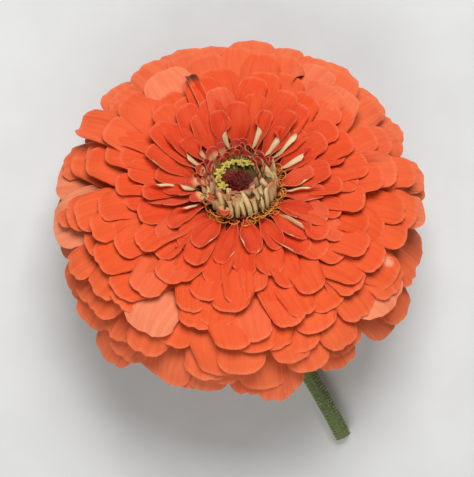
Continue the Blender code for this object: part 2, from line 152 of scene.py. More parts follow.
# Florets with open red hoods: azimuth in degrees, width, radius and height of the bend, and of
# the tip, in millimetres
CROWN_HOODS = (
    (137.0, 4.8, 9.6, 23.0, 10.2, 25.0),
    (168.0, 3.7, 9.8, 22.4, 10.8, 24.3),
    (184.0, 4.2, 10.8, 21.0, 14.0, 21.6),
    (118.0, 2.5, 9.2, 23.0, 9.7, 25.6),
    (104.0, 2.4, 8.2, 21.2, 8.1, 23.4),
    (91.0, 2.8, 9.2, 22.6, 9.4, 24.9),
    (75.0, 3.0, 9.4, 22.4, 9.8, 24.7),
    (82.0, 2.4, 7.8, 20.6, 7.6, 22.8),
    (40.0, 2.5, 8.2, 21.4, 8.4, 24.0),
    (8.0, 2.8, 7.4, 21.6, 7.4, 24.2),
    (-24.0, 4.2, 10.4, 21.8, 11.2, 23.8),
    (-68.0, 2.8, 7.8, 23.6, 9.0, 25.3),
    (-93.0, 2.6, 8.4, 23.2, 9.3, 24.6),
    (-112.0, 2.8, 8.8, 22.8, 9.8, 24.0),
    (-127.0, 2.7, 10.2, 22.6, 12.2, 23.4),
    (-112.0, 3.4, 10.9, 20.8, 13.8, 21.2),
    (-150.0, 4.0, 10.9, 20.8, 14.6, 21.0),
    (155.0, 3.0, 8.4, 21.6, 8.0, 24.0),
    (-163.0, 2.9, 9.8, 23.0, 11.2, 24.0),
    (-52.0, 2.4, 6.7, 21.0, 6.5, 23.2),
    (-30.0, 2.2, 6.4, 20.8, 6.1, 22.9),
    (-6.0, 2.6, 6.3, 20.6, 6.0, 22.5),
    (18.0, 2.2, 6.3, 20.4, 5.9, 22.6),
    (37.0, 2.6, 6.4, 20.4, 6.1, 22.3),
    (58.0, 2.2, 6.6, 20.2, 6.4, 22.0),
)
# Heart of the crown and the eye, under the florets: radii and heights from foot to middle
HEART_R = mm(0.05, 9.5, 9.8, 9.1, 8.2, 7.3, 6.5, 4.8, 3.2, 1.6, 0.05)
HEART_Z = mm(17.3, 17.3, 19.4, 20.9, 21.4, 20.6, 18.5, 18.4, 19.0, 19.6, 19.8)
HEART_SIDES = 60

# Eye: a ring of open disc florets round a tuft of chaff
STARS = 10
STAR_ARC = (math.radians(55.0), math.radians(215.0))
STAR_RING_R = mm(5.2)
STAR_FOOT_Z = mm(18.2)
STAR_SEED = 4
STAR_PROFILE_R = mm(0.30, 0.42, 0.48, 0.62, 0.98, 1.20, 1.12, 0.62, 0.34, 0.24)
STAR_PROFILE_Z = mm(0.0, 0.9, 1.6, 1.95, 2.10, 2.12, 2.22, 2.12, 1.8, 1.2)
STAR_LOBING = (0.0, 0.0, 0.0, 0.25, 0.5, 0.62, 0.62, 0.35, 0.0, 0.0)
STAR_SIDES = 25
CHAFF_SCALES = 150
CHAFF_SPREAD = mm(3.7)
TUFT_AT = mm(-1.5, -0.5, 0.0)
CHAFF_SEED = 8
CHAFF_THICKNESS = mm(0.16)
BASE_CHAFF = 80

# Styles: forked curly threads between the crown and the petals
# Clusters of them: azimuth in degrees and how many
STYLE_CLUSTERS = ((14.0, 5), (-22.0, 4), (-42.0, 6), (-78.0, 5), (-116.0, 6), (-150.0, 2), (178.0, 3))
STYLE_SEED = 15
STYLE_R = mm(0.16)

# Involucre: the green cup of overlapping bracts
CUP_R = mm(0.05, 4.6, 6.6, 8.8, 9.9, 9.6, 0.05)
CUP_Z = mm(-19.0, -19.0, -17.0, -13.5, -10.0, -8.3, -8.3)
CUP_SIDES = 60
BRACT_ROWS = 4
BRACTS_A_ROW = 9
BRACT_FOOT = mm(-18.6)
BRACT_STEP = mm(2.2)
BRACT_LENGTH = mm(5.0)
BRACT_WIDTH = mm(6.6)
BRACT_SEED = 5
BRACT_THICKNESS = mm(0.45)

# Stem
STEM_R = mm(2.3)
STEM_NECK_R = mm(3.4)
STEM_TOP_Z = mm(-18.4)
STEM_FIRST_REACH = mm(14.0)
STEM_LAST_REACH = mm(11.0, -22.0, -3.0)
STEM_CUT_END = mm(30.6, -57.6, 2.1)
STEM_STEPS = 90
STEM_SIDES = 48
STEM_RIBS = 9
STEM_FLARE = 6
CUT_SHARES = (0.97, 0.9, 0.62, 0.3, 0.02)
CUT_DISH = mm(0.25)
HAIRS = 2600
HAIR_SEED = 31


def smooth(value, low, high):
    """0 below low and 1 above high, with 3x² - 2x³ of the share between them."""
    share = np.clip((value - low) / (high - low), 0.0, 1.0)
    return share * share * (3.0 - 2.0 * share)


def pose(points):
    """Leans points of the bloom's frame back about X and lifts them to where the bloom lies."""
    c, s = math.cos(LEAN_BACK), math.sin(LEAN_BACK)
    x, y, z = points[..., 0], points[..., 1], points[..., 2]
    leant = np.stack([x, c * y + s * z, c * z - s * y], axis=-1)
    return leant + np.array(BLOOM_AT)


def press_on_floor(points, clearance):
    """Bends what would dip below the surface along it: z becomes clearance + k ln(1 + exp(z' / k)).

    z' is the height above clearance and k is the softness of the bend.
    """
    pressed = points.copy()
    above = (points[..., 2] - clearance) / FLOOR_SOFTNESS
    pressed[..., 2] = clearance + FLOOR_SOFTNESS * np.logaddexp(0.0, above)
    return pressed


def lean_crown(points):
    """Tilts the crown towards the back left, more so with height, about the flat face it sits on."""
    rise = points[..., 2] - CROWN_FOOT_Z
    full = np.clip(rise / (CROWN_FULL_Z - CROWN_FOOT_Z), 0, 1) * math.tan(CROWN_LEAN)
    towards = np.array([math.cos(CROWN_LEAN_TOWARDS), math.sin(CROWN_LEAN_TOWARDS)])
    leant = points.copy()
    leant[..., :2] += (rise * full)[..., None] * towards
    leant[..., 2] -= points[..., :2] @ towards * full
    return leant


def put_mesh(name, points, faces, facts, uv, finishes, face_finish):
    """A piece from whole arrays, riding on the root.

    faces is a list of whole-number arrays, one for each number of corners. facts are named
    values, one for each point, that the finishes read as attributes.
    """
    mesh = bpy.data.meshes.new(name)
    mesh.vertices.add(len(points))
    mesh.vertices.foreach_set("co", np.ascontiguousarray(points, dtype=np.float32).ravel())
    corners = np.concatenate([part.ravel() for part in faces]).astype(np.int32)
    sizes = np.concatenate([np.full(len(part), part.shape[1]) for part in faces])
    mesh.loops.add(len(corners))
    mesh.loops.foreach_set("vertex_index", corners)
    mesh.polygons.add(len(sizes))
    starts = np.concatenate([[0], np.cumsum(sizes)[:-1]]).astype(np.int32)
    mesh.polygons.foreach_set("loop_start", starts)
    mesh.update(calc_edges=True)
    for finish in finishes:
        mesh.materials.append(finish)
    if face_finish is not None:
        mesh.polygons.foreach_set("material_index", face_finish.astype(np.int32))
    for fact, values in facts.items():
        layer = mesh.attributes.new(fact, "FLOAT", "POINT")
        layer.data.foreach_set("value", values.astype(np.float32).ravel())
    layer = mesh.uv_layers.new(name="blade")
    layer.data.foreach_set("uv", uv[corners].astype(np.float32).ravel())
    mesh.shade_smooth()
    mesh.set_sharp_from_angle(angle=math.radians(60.0))
    piece = bpy.data.objects.new(name, mesh)
    bpy.context.scene.collection.objects.link(piece)
    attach(piece, "root")
    return piece


def put_blades(name, middle, thickness, facts, finishes):
    """Thin blades with two faces and a rim, from their middle surfaces.

    middle holds the points of each blade, rows from foot to tip by columns across. Each face
    stands half the thickness off it along its normal, thinner towards the margins. The first
    finish goes on the upper face and the rim, and the second on the underside.
    """
    count, rows, columns = middle.shape[:3]
    normal = np.cross(np.gradient(middle, axis=1), np.gradient(middle, axis=2))
    normal /= np.maximum(np.linalg.norm(normal, axis=-1, keepdims=True), 1e-12)
    along = np.linspace(0, 1, rows)[:, None]
    across = np.abs(np.linspace(-1, 1, columns))[None, :]
    thinner = 1 - 0.5 * np.maximum(smooth(across, 0.7, 1.0), smooth(along, 0.85, 1.0))
    half = (0.5 * thickness * thinner)[None, :, :, None]
    points = np.stack([middle + half * normal, middle - half * normal]).reshape(-1, 3)
    top, under = np.arange(len(points)).reshape(2, count, rows, columns)
    upper = np.stack([top[:, :-1, :-1], top[:, 1:, :-1], top[:, 1:, 1:], top[:, :-1, 1:]], axis=-1)
    lower = np.stack([under[:, :-1, :-1], under[:, :-1, 1:], under[:, 1:, 1:], under[:, 1:, :-1]], axis=-1)

    def border(side):
        return np.concatenate(
            [side[:, :-1, 0], side[:, -1, :-1], side[:, :0:-1, -1], side[:, 0, :0:-1]], axis=1
        )

    edge, edge_under = border(top), border(under)
    beyond, beyond_under = np.roll(edge, -1, axis=1), np.roll(edge_under, -1, axis=1)
    rim = np.stack([beyond, edge, edge_under, beyond_under], axis=-1)
    faces = np.concatenate([upper.reshape(-1, 4), rim.reshape(-1, 4), lower.reshape(-1, 4)])
    face_finish = np.arange(len(faces)) >= len(faces) - lower.size // 4
    shape = (2, count, rows, columns)
    uv = np.stack(np.broadcast_arrays(0.5 + 0.5 * np.linspace(-1, 1, columns), along), axis=-1)
    uv = np.broadcast_to(uv, shape + (2,)).reshape(-1, 2)
    facts = {fact: np.broadcast_to(values, shape).ravel() for fact, values in facts.items()}
    return put_mesh(name, points, [faces], facts, uv, finishes, face_finish)


def put_rings(name, rings, facts, finishes):
    """Closed tubes or turned forms: rings of points, joined in order and capped at both ends."""
    count, steps, sides = rings.shape[:3]
    ring = np.arange(count * steps * sides).reshape(count, steps, sides)
    beyond = np.roll(ring, -1, axis=2)
    skin = np.stack([ring[:, :-1], beyond[:, :-1], beyond[:, 1:], ring[:, 1:]], axis=-1)
    first = ring.size + np.arange(count)
    last = first + count
    foot = np.broadcast_to(first[:, None], (count, sides))
    head = np.broadcast_to(last[:, None], (count, sides))
    caps = [
        np.stack([foot, beyond[:, 0], ring[:, 0]], axis=-1).reshape(-1, 3),
        np.stack([head, ring[:, -1], beyond[:, -1]], axis=-1).reshape(-1, 3),
    ]
    points = np.concatenate([rings.reshape(-1, 3), rings[:, 0].mean(axis=1), rings[:, -1].mean(axis=1)])
    turn = np.broadcast_to(np.linspace(0, 1, sides), (count, steps, sides))
    along = np.broadcast_to(np.linspace(0, 1, steps)[:, None], (count, steps, sides))
    uv = np.stack([turn, along], axis=-1).reshape(-1, 2)
    uv = np.concatenate([uv, np.tile([0.5, 0.0], (count, 1)), np.tile([0.5, 1.0], (count, 1))])
    whole = {}
    for fact, values in facts.items():
        values = np.broadcast_to(values, (count, steps, sides))
        whole[fact] = np.concatenate([values.ravel(), values[:, 0, 0], values[:, -1, 0]])
    return put_mesh(name, points, [skin.reshape(-1, 4), *caps], whole, uv, finishes, None)


def carry_rings(path, radius, sides):
    """Rings of the given radius carried along paths.

    Each ring lies across the path. Its first side is kept as near as it can be to the last
    ring's, so that the tube doesn't twist.
    """
    along = np.gradient(path, axis=1)
    along /= np.linalg.norm(along, axis=-1, keepdims=True)
    side = np.cross(along[:, 0], np.array([0.31, 0.87, 0.39]))
    turn = np.linspace(0, 2 * math.pi, sides, endpoint=False)[None, :, None]
    rings = []
    for step in range(path.shape[1]):
        ahead = along[:, step]
        side = side - ahead * np.sum(side * ahead, axis=-1, keepdims=True)
        side /= np.linalg.norm(side, axis=-1, keepdims=True)
        other = np.cross(ahead, side)
        wide = np.broadcast_to(radius, path.shape[:2] + (sides,))[:, step, :, None]
        spoke = np.cos(turn) * side[:, None] + np.sin(turn) * other[:, None]
        rings.append(path[:, step, None] + wide * spoke)
    return np.stack(rings, axis=1)


def ligules(grown, rows, columns):
    """Middle surfaces of strap-shaped florets, in the bloom's frame.

    The midline is a quadratic Bezier from root over bend to tip in the floret's half plane.
    Columns end sooner towards the margins, by a superellipse, which rounds the tip. Across the
    blade the surface turns by an angle that grows from the midline: base_roll near the foot,
    which makes a tube, cup further up, fold at the midline itself and curl at either margin.
    Following that angle outwards gives the way across and the lift off the midline. Pleats, a
    ripple and a droop of the tip add to the lift. The whole turns about the midline by roll,
    about its root by raise, and swings by sway.
    """
    g = {name: np.asarray(values, float)[:, None, None] for name, values in grown.items()}
    along = np.linspace(0, 1, rows)[None, :, None]
    across = np.sin(np.linspace(-0.5, 0.5, columns) * math.pi)[None, None, :]
    length = np.hypot(g["tip_r"] - g["root_r"], g["tip_z"] - g["root_z"])
    corner = g["round"] * g["width"] / length * (1 - np.sqrt(1 - 0.97 * np.abs(across) ** 2.6))
    scallop = 0.6 * np.cos(2.2 * math.pi * across + g["phase"])
    scallop = scallop + 0.4 * np.cos(4.1 * math.pi * across + 2 * g["phase"])
    share = along * (1 - corner * along**2 - g["notch"] * scallop * along**6) * g["reach"]

    dr = 2 * (1 - share) * (g["bend_r"] - g["root_r"]) + 2 * share * (g["tip_r"] - g["bend_r"])
    dz = 2 * (1 - share) * (g["bend_z"] - g["root_z"]) + 2 * share * (g["tip_z"] - g["bend_z"])
    a, b, c = (1 - share) ** 2, 2 * share * (1 - share), share**2
    r = a * g["root_r"] + b * g["bend_r"] + c * g["tip_r"]
    z = a * g["root_z"] + b * g["bend_z"] + c * g["tip_z"]
    dr, dz = dr / np.hypot(dr, dz), dz / np.hypot(dr, dz)

    opening = smooth(along, g["open_from"], g["open_to"]) ** 0.85
    half = g["claw"] + (g["width"] / 2 - g["claw"]) * opening
    half = half * (1 - 0.10 * smooth(along, 0.7, 1.0)) * (1 - g["nose"] * along**3)
    curling = smooth(along, 0.05, 0.4) * (1 - smooth(along, g["curl_to"] - 0.3, g["curl_to"]))
    angle = across * (g["base_roll"] * (1 - opening) + g["cup"] * opening)
    angle = angle + g["fold"] * np.tanh(6 * across) * smooth(along, 0.2, 0.7)
    angle = angle + g["curl_right"] * smooth(across, -0.1, 0.8) * curling
    angle = angle - g["curl_left"] * smooth(-across, -0.1, 0.8) * curling
    heading = 0.5 * (angle[..., 1:] + angle[..., :-1])
    step = half * np.diff(across)
    side = np.concatenate([0 * step[..., :1], np.cumsum(np.cos(heading) * step, axis=-1)], axis=-1)
    lift = np.concatenate([0 * step[..., :1], np.cumsum(np.sin(heading) * step, axis=-1)], axis=-1)
    side = side - side[..., columns // 2, None]
    lift = lift - lift[..., columns // 2, None]
    lift = lift + g["pleat"] * np.cos(3 * math.pi * across) * opening
    lift = lift + g["ripple"] * np.sin(5.2 * along + g["phase"]) * across * opening
    lift = lift - g["droop"] * smooth(along, 0.65, 1.0) ** 2

    roll = g["roll"] * along
    side, lift = side * np.cos(roll) - lift * np.sin(roll), side * np.sin(roll) + lift * np.cos(roll)
    r, z = r - dz * lift - g["root_r"], z + dr * lift - g["root_z"]
    cos, sin = np.cos(g["raise"]), np.sin(g["raise"])
    r, z = g["root_r"] + cos * r - sin * z, g["root_z"] + sin * r + cos * z
    turn = g["az"] + g["sway"] * along**1.5
    x = r * np.cos(turn) - side * np.sin(turn)
    y = r * np.sin(turn) + side * np.cos(turn)
    return np.stack(np.broadcast_arrays(x, y, z), axis=-1)


def even(count, **values):
    """The same value for every blade, for each name given."""
    return {name: np.full(count, float(value)) for name, value in values.items()}


def nearest(places, spot, among):
    """Which of the blades chosen by among has its middle nearest the spot, as seen from above."""
    away = np.hypot(places[:, 0] - spot[0], places[:, 1] - spot[1])
    return np.argmin(np.where(among, away, np.inf))


def grow_petals(age, az, draw):
    """Each petal's growth from its age, from the innermost (0) to the outermost (1), and azimuth.

    Sizes come from the knots, front and back knots mixed by how far round the petal sits, and
    seeded draws vary them.
    """
    count = len(age)
    az = az + draw.normal(0, math.radians(2.0), count)
    back = 0.5 + 0.5 * np.sin(az)

    def knot(values):
        return np.interp(age, KNOTS, values)

    def mix(front, rear):
        return knot(front) * (1 - back) + knot(rear) * back

    reach = (1 + draw.normal(0, 0.03, count)) * (1 + RIGHT_REACH * np.cos(az) * age)
    outer = np.clip((age - LIE_FROM) / (LIE_FULLY - LIE_FROM), 0, 1)
    lowered = LIE_DOWN * outer * np.maximum(np.cos(az - LIE_TOWARDS), 0) ** 4
    broad = 1 + 0.22 * smooth(back, 0.5, 1.0) * smooth(age, 0.12, 0.35)
    late = (age > 0.15) & (draw.random(count) < 0.10)
    curls = np.where(late, draw.uniform(0.7, 1.6, count), 0.0)
    to_the_left = draw.random(count) < 0.5
    return {
        "age": age,
        "az": az,
        "root_r": knot(ROOT_R),
        "root_z": knot(ROOT_Z),
        "bend_r": mix(FRONT_BEND_R, BACK_BEND_R),
        "bend_z": mix(FRONT_BEND_Z, BACK_BEND_Z),
        "tip_r": mix(FRONT_TIP_R, BACK_TIP_R),
        "tip_z": mix(FRONT_TIP_Z, BACK_TIP_Z),
        "reach": reach,
        "width": knot(PETAL_WIDTH) * (1 + draw.normal(0, 0.07, count)) * broad,
        "raise": draw.normal(0, math.radians(1.5), count) - lowered,
        "roll": draw.normal(0, math.radians(4.5), count),
        "sway": draw.normal(0, math.radians(3.5), count),
        "phase": draw.uniform(0, 2 * math.pi, count),
        "notch": (0.008 + 0.012 * smooth(age, 0.3, 0.7)) * draw.uniform(0, 1, count),
        "droop": mm(0.55) * draw.uniform(-0.6, 2.0, count),
        "tone": draw.uniform(0, 1, count),
        # pale: some petals' own paleness, drawn at random, plus a painted sky sheen that makes the older petals
        # at the back paler where they face the light from above
        "pale": np.where(draw.random(count) < 0.12, draw.uniform(0.05, 0.2, count), 0.0)
        + 0.24 * smooth(back, 0.3, 0.9) * smooth(age, 0.25, 0.6),
        "browned": np.zeros(count),
        "base_roll": knot(PETAL_BASE_ROLL),
        "cup": knot(PETAL_CUP) + draw.normal(0, 0.12, count),
        "fold": np.abs(draw.normal(0, 0.07, count)),
        "curl_left": np.where(to_the_left, curls, 0.0),
        "curl_right": np.where(to_the_left, 0.0, curls),
        "curl_to": draw.uniform(0.75, 1.1, count),
        "open_to": 0.72 - 0.24 * age,
        **even(count, claw=PETAL_CLAW, open_from=0.02, round=0.42, nose=0.0),
        **even(count, pleat=mm(0.18), ripple=mm(0.38)),
    }


def single_out(grown):
    """Pales, raises, folds and curls the petals that the photograph shows so."""
    middles = pose(ligules(grown, 11, 5)[:, 8, 2])
    for spot, pale, raised, broader, swing in PALE_AT:
        chosen = nearest(middles, spot, grown["age"] > 0.3)
        grown["pale"][chosen] = pale
        grown["raise"][chosen] += math.radians(raised)
        grown["width"][chosen] *= broader
        grown["sway"][chosen] += swing
    for spot in BROWNED_AT:
        chosen = nearest(middles, spot, (grown["age"] > 0.2) & (grown["age"] < 0.7))
        grown["browned"][chosen] = 1.0
        grown["fold"][chosen] = 1.1
        grown["width"][chosen] *= 0.6
        grown["reach"][chosen] *= 0.88
        grown["raise"][chosen] += math.radians(3.0)
    for spot in FOLDED_AT:
        grown["fold"][nearest(middles, spot, grown["age"] > 0.3)] = 0.9
    free = grown["age"] < 0.22
    for spot, curl in CURLED_AT:
        chosen = nearest(middles, spot, free)
        free[chosen] = False
        inner_side = "curl_left" if spot[0] < 0 else "curl_right"
        grown[inner_side][chosen] = curl
        grown["width"][chosen] *= 0.85


def build_petals(face, underside):
    turns = np.arange(PETALS)
    grown = grow_petals(turns / (PETALS - 1), turns * GOLDEN_ANGLE, np.random.default_rng(PETAL_SEED))
    az, age = np.array(FILLING_PETALS).T
    filling = grow_petals(age, np.radians(az), np.random.default_rng(FILLING_SEED))
    grown = {name: np.concatenate([values, filling[name]]) for name, values in grown.items()}
    single_out(grown)
    for name, (youngest, oldest) in PETAL_GROUPS.items():
        chosen = (grown["age"] >= youngest) & (grown["age"] < oldest)
        group = {key: values[chosen] for key, values in grown.items()}
        middle = press_on_floor(pose(ligules(group, PETAL_ROWS, PETAL_COLUMNS)), PETAL_THICKNESS)
        facts = {key: group[key][:, None, None] for key in ("age", "tone", "pale", "browned")}
        piece = put_blades(name, middle, PETAL_THICKNESS, facts, [face, underside])
        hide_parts("ray_florets")


def turned(radii, heights, sides):
    """Rings of a profile of radii and heights turned about the bloom's axis, in its frame."""
    turn = np.linspace(0, 2 * math.pi, sides, endpoint=False)
    radii, heights = np.array(radii)[:, None], np.array(heights)[:, None]
    rings = np.stack(np.broadcast_arrays(radii * np.cos(turn), radii * np.sin(turn), heights), axis=-1)
    return rings[None]


def build_receptacle(finish):
    """The green heart that the petals grow from, seen in the deepest gaps."""
    radii, heights = RECEPTACLE_R[::-1][1:-1], RECEPTACLE_Z[::-1][1:-1]
    piece = put_rings(
        "receptacle", pose(turned(radii, heights, RECEPTACLE_SIDES)), {}, [finish]
    )
    return piece


def scattered(draw, count, middle, spread):
    """Values round a middle, evenly drawn within the spread on either side."""
    return middle + draw.uniform(-spread, spread, count)


def grow_crown():
    """Young florets in whorls, still rolled into tubes, and those with open hoods.

    Hoods of the lowest of them bend outwards over the petals.
    """
    draw = np.random.default_rng(CROWN_SEED)
    whorls = []
    for count, root, bend, tip, scatter in CROWN_WHORLS:
        az = (np.arange(count) + draw.uniform(-0.3, 0.3, count)) * 2 * math.pi / count + draw.uniform(0, 6)
        longer = draw.uniform(-1.4, 1.0, count) * scatter
        whorls.append({
            "az": az,
            "root_r": scattered(draw, count, root[0], mm(0.25)),
            "root_z": np.full(count, root[1]),
            "bend_r": scattered(draw, count, bend[0], mm(0.35)),
            "bend_z": bend[1] + 0.5 * longer,
            "tip_r": scattered(draw, count, tip[0], 0.8 * scatter),
            "tip_z": tip[1] + longer,
            "width": mm(1) * draw.uniform(1.6, 4.0, count),
            "claw": mm(1) * draw.uniform(1.0, 1.7, count),
            "cup": draw.uniform(0.9, 1.6, count),
            "open_from": draw.uniform(0.45, 0.7, count),
            "open_to": draw.uniform(1.0, 1.2, count),
            "blush": draw.uniform(0.0, 0.8, count) ** 2,
        })
    az, width, bend_r, bend_z, tip_r, tip_z = np.array(CROWN_HOODS).T
    count = len(az)
    whorls.append({
        "az": np.radians(az),
        "root_r": np.minimum(mm(1) * bend_r, mm(10.2)),
        "root_z": np.full(count, mm(17.2)),
        "bend_r": mm(1) * bend_r,
        "bend_z": mm(1) * bend_z,
        "tip_r": mm(1) * tip_r,
        "tip_z": mm(1) * tip_z,
        "width": mm(1) * width,
        "claw": np.full(count, mm(1.25)),
        "cup": draw.uniform(0.3, 0.7, count),
        "open_from": np.full(count, 0.3),
        "open_to": draw.uniform(0.7, 0.85, count),
        "blush": draw.uniform(0.7, 1.0, count),
    })
    grown = {name: np.concatenate([whorl[name] for whorl in whorls]) for name in whorls[0]}
    total = len(grown["az"])
    grown |= even(total, reach=1, base_roll=2.75, round=0.5, nose=0, fold=0, notch=0.01, roll=0)
    grown |= even(total, pleat=0, ripple=mm(0.15), droop=mm(0.1), curl_left=0, curl_right=0, curl_to=1)
    grown["raise"] = draw.normal(0, math.radians(3.0), total)
    grown["sway"] = draw.normal(0, math.radians(5.0), total)
    grown["phase"] = draw.uniform(0, 2 * math.pi, total)
    grown["tone"] = draw.uniform(0, 1, total)
    return grown


def build_crown(face, outside):
    grown = grow_crown()
    middle = pose(lean_crown(ligules(grown, 21, 11)))
    facts = {key: grown[key][:, None, None] for key in ("tone", "blush")}
    piece = put_blades("young_florets", middle, CROWN_THICKNESS, facts, [face, outside])
    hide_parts("crown_florets")


def build_heart(wall):
    """The turned core of the crown and the eye, seen only between the florets."""
    rings = pose(lean_crown(turned(HEART_R, HEART_Z, HEART_SIDES)))
    zone = np.linspace(0, 1, len(HEART_R))[None, :, None]
    piece = put_rings("crown_heart", rings, {"zone": zone}, [wall])
    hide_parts("crown_florets")


def build_stars(yellow):
    """Open disc florets: slim tubes that flare into five pointed lobes.

    A profile is turned about the floret's own axis and pushed out by (1 + cos 5a) / 2, more so
    towards the lip, then leant outwards and set round the eye.
    """
    draw = np.random.default_rng(STAR_SEED)
    turn = np.linspace(0, 2 * math.pi, STAR_SIDES, endpoint=False)[None, None, :]
    lobe = (0.5 + 0.5 * np.cos(5 * turn)) ** 0.8
    radius = np.array(STAR_PROFILE_R)[None, :, None]
    lobing = np.array(STAR_LOBING)[None, :, None]
    size = draw.uniform(0.85, 1.2, STARS)[:, None, None]
    radius = radius * (1 + lobing * (lobe - 0.55) * 1.3) * size
    height = np.array(STAR_PROFILE_Z)[None, :, None] * draw.uniform(0.85, 1.25, STARS)[:, None, None]
    height = height + mm(0.25) * lobing * lobe
    spin = draw.uniform(0, 2 * math.pi, STARS)[:, None, None]
    x, y = radius * np.cos(turn + spin), radius * np.sin(turn + spin)
    lean = draw.uniform(-0.10, 0.35, STARS)[:, None, None]
    x, z = x * np.cos(lean) + height * np.sin(lean), height * np.cos(lean) - x * np.sin(lean)
    az = np.linspace(*STAR_ARC, STARS) + draw.uniform(-0.1, 0.1, STARS)
    az = az[:, None, None]
    out = STAR_RING_R + mm(0.6) * draw.uniform(-1, 1, STARS)[:, None, None] + x
    stars = np.stack([out * np.cos(az) - y * np.sin(az), out * np.sin(az) + y * np.cos(az), z + STAR_FOOT_Z], -1)
    inner = np.linspace(0, 1, len(STAR_PROFILE_R))[None, :, None]
    tone = draw.uniform(0, 1, STARS)[:, None, None]
    rings = pose(lean_crown(stars))
    piece = put_rings("star_florets", rings, {"inner": inner, "tone": tone}, [yellow])
    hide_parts("disc_florets")


def grow_scales(draw, root_r, root_z, tip_r, tip_z, width):
    """Narrow pointed scales from their roots and tips."""
    count = len(root_r)
    return {
        "az": draw.uniform(0, 2 * math.pi, count),
        "root_r": root_r,
        "root_z": root_z,
        "bend_r": 0.6 * root_r + 0.4 * tip_r,
        "bend_z": 0.3 * root_z + 0.7 * tip_z,
        "tip_r": tip_r,
        "tip_z": tip_z,
        "width": width,
        "raise": draw.normal(0, 0.06, count),
        "roll": draw.normal(0, 0.3, count),
        "sway": draw.normal(0, 0.12, count),
        "phase": draw.uniform(0, 2 * math.pi, count),
        "tone": draw.uniform(0, 1, count),
        **even(count, reach=1, claw=mm(0.25), open_from=0.0, open_to=0.5, round=0.3, nose=0.85),
        **even(count, base_roll=0.6, cup=0.5, fold=0.15, curl_left=0, curl_right=0, curl_to=1),
        **even(count, pleat=0, ripple=mm(0.1), droop=0, notch=0.10),
    }


def build_chaff(maroon):
    """The tuft of maroon scales in the eye, and the scales in the gap round the crown's foot."""
    draw = np.random.default_rng(CHAFF_SEED)
    root_r = CHAFF_SPREAD * np.sqrt(draw.uniform(0.0, 1.0, CHAFF_SCALES))
    tip_z = mm(21.4) - 0.28 * root_r + draw.uniform(-0.5, 0.4, CHAFF_SCALES) * mm(1)
    tip_r = 1.12 * root_r + draw.uniform(-0.3, 0.4, CHAFF_SCALES) * mm(1)
    width = mm(1) * draw.uniform(0.8, 1.3, CHAFF_SCALES)
    grown = grow_scales(draw, root_r, np.full(CHAFF_SCALES, mm(18.5)), tip_r, tip_z, width)
    middle = pose(lean_crown(ligules(grown, 6, 5) + np.array(TUFT_AT)))
    facts = {"tone": grown["tone"][:, None, None]}
    piece = put_blades("chaff_tuft", middle, CHAFF_THICKNESS, facts, [maroon, maroon])
    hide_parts("chaff")
    root_r = mm(1) * draw.uniform(10.0, 12.4, BASE_CHAFF)
    root_z = np.full(BASE_CHAFF, mm(15.6))
    tip_z = mm(1) * draw.uniform(17.4, 19.4, BASE_CHAFF)
    width = mm(1) * draw.uniform(0.9, 1.6, BASE_CHAFF)
    tip_r = root_r + mm(0.9) * draw.uniform(-0.6, 1.0, BASE_CHAFF)
    grown = grow_scales(draw, root_r, root_z, tip_r, tip_z, width)
    middle = pose(ligules(grown, 6, 5))
    facts = {"tone": grown["tone"][:, None, None]}
    put_blades("chaff_at_crown_foot", middle, CHAFF_THICKNESS, facts, [maroon, maroon])


def build_styles(thread):
    """Forked styles: from a short stalk, two branches curl away to either side.

    Along a branch the heading turns steadily faster, so that it ends in a small coil; adding up
    the headings gives the branch's points.
    """
    draw = np.random.default_rng(STYLE_SEED)
    steps = 26
    share = np.linspace(0, 1, steps)[None, :]
    middles, shares = zip(*STYLE_CLUSTERS)
    pairs = sum(shares)
    az = np.radians(np.repeat(middles, shares)) + draw.normal(0, math.radians(8.0), pairs)
    az = np.repeat(az, 2)[:, None]
    count = 2 * pairs
    hand = np.tile([1.0, -1.0], pairs)[:, None]
    stalk = np.repeat(draw.uniform(0.25, 0.42, pairs), 2)[:, None]
    length = np.repeat(mm(1) * draw.uniform(4.5, 7.5, pairs), 2)[:, None] * draw.uniform(0.85, 1.1, (count, 1))
    out_tilt = np.repeat(draw.uniform(0.1, 0.9, pairs), 2)[:, None]
    forked = np.clip((share - stalk) / (1 - stalk), 0, 1)
    sideways = hand * forked**0.8 * draw.uniform(2.2, 5.2, (count, 1))
    outwards = out_tilt + 0.9 * share + forked * draw.uniform(-0.6, 1.2, (count, 1))
    step = length / (steps - 1)
    up = np.cumsum(np.cos(sideways) * np.cos(outwards) * step, axis=1)
    away = np.cumsum(np.cos(sideways) * np.sin(outwards) * step, axis=1)
    aside = np.cumsum(np.sin(sideways) * step, axis=1)
    r = np.repeat(mm(1) * draw.uniform(10.2, 11.4, pairs), 2)[:, None] + away
    z = np.repeat(mm(1) * draw.uniform(15.8, 17.0, pairs), 2)[:, None] + up
    path = np.stack([r * np.cos(az) - aside * np.sin(az), r * np.sin(az) + aside * np.cos(az), z], axis=-1)
    radius = (STYLE_R * (1 - 0.35 * share**3))[..., None]
    rings = carry_rings(pose(path), radius, 6)
    tone = np.repeat(draw.uniform(0, 1, pairs), 2)[:, None, None]
    put_rings("styles", rings, {"tone": tone}, [thread])


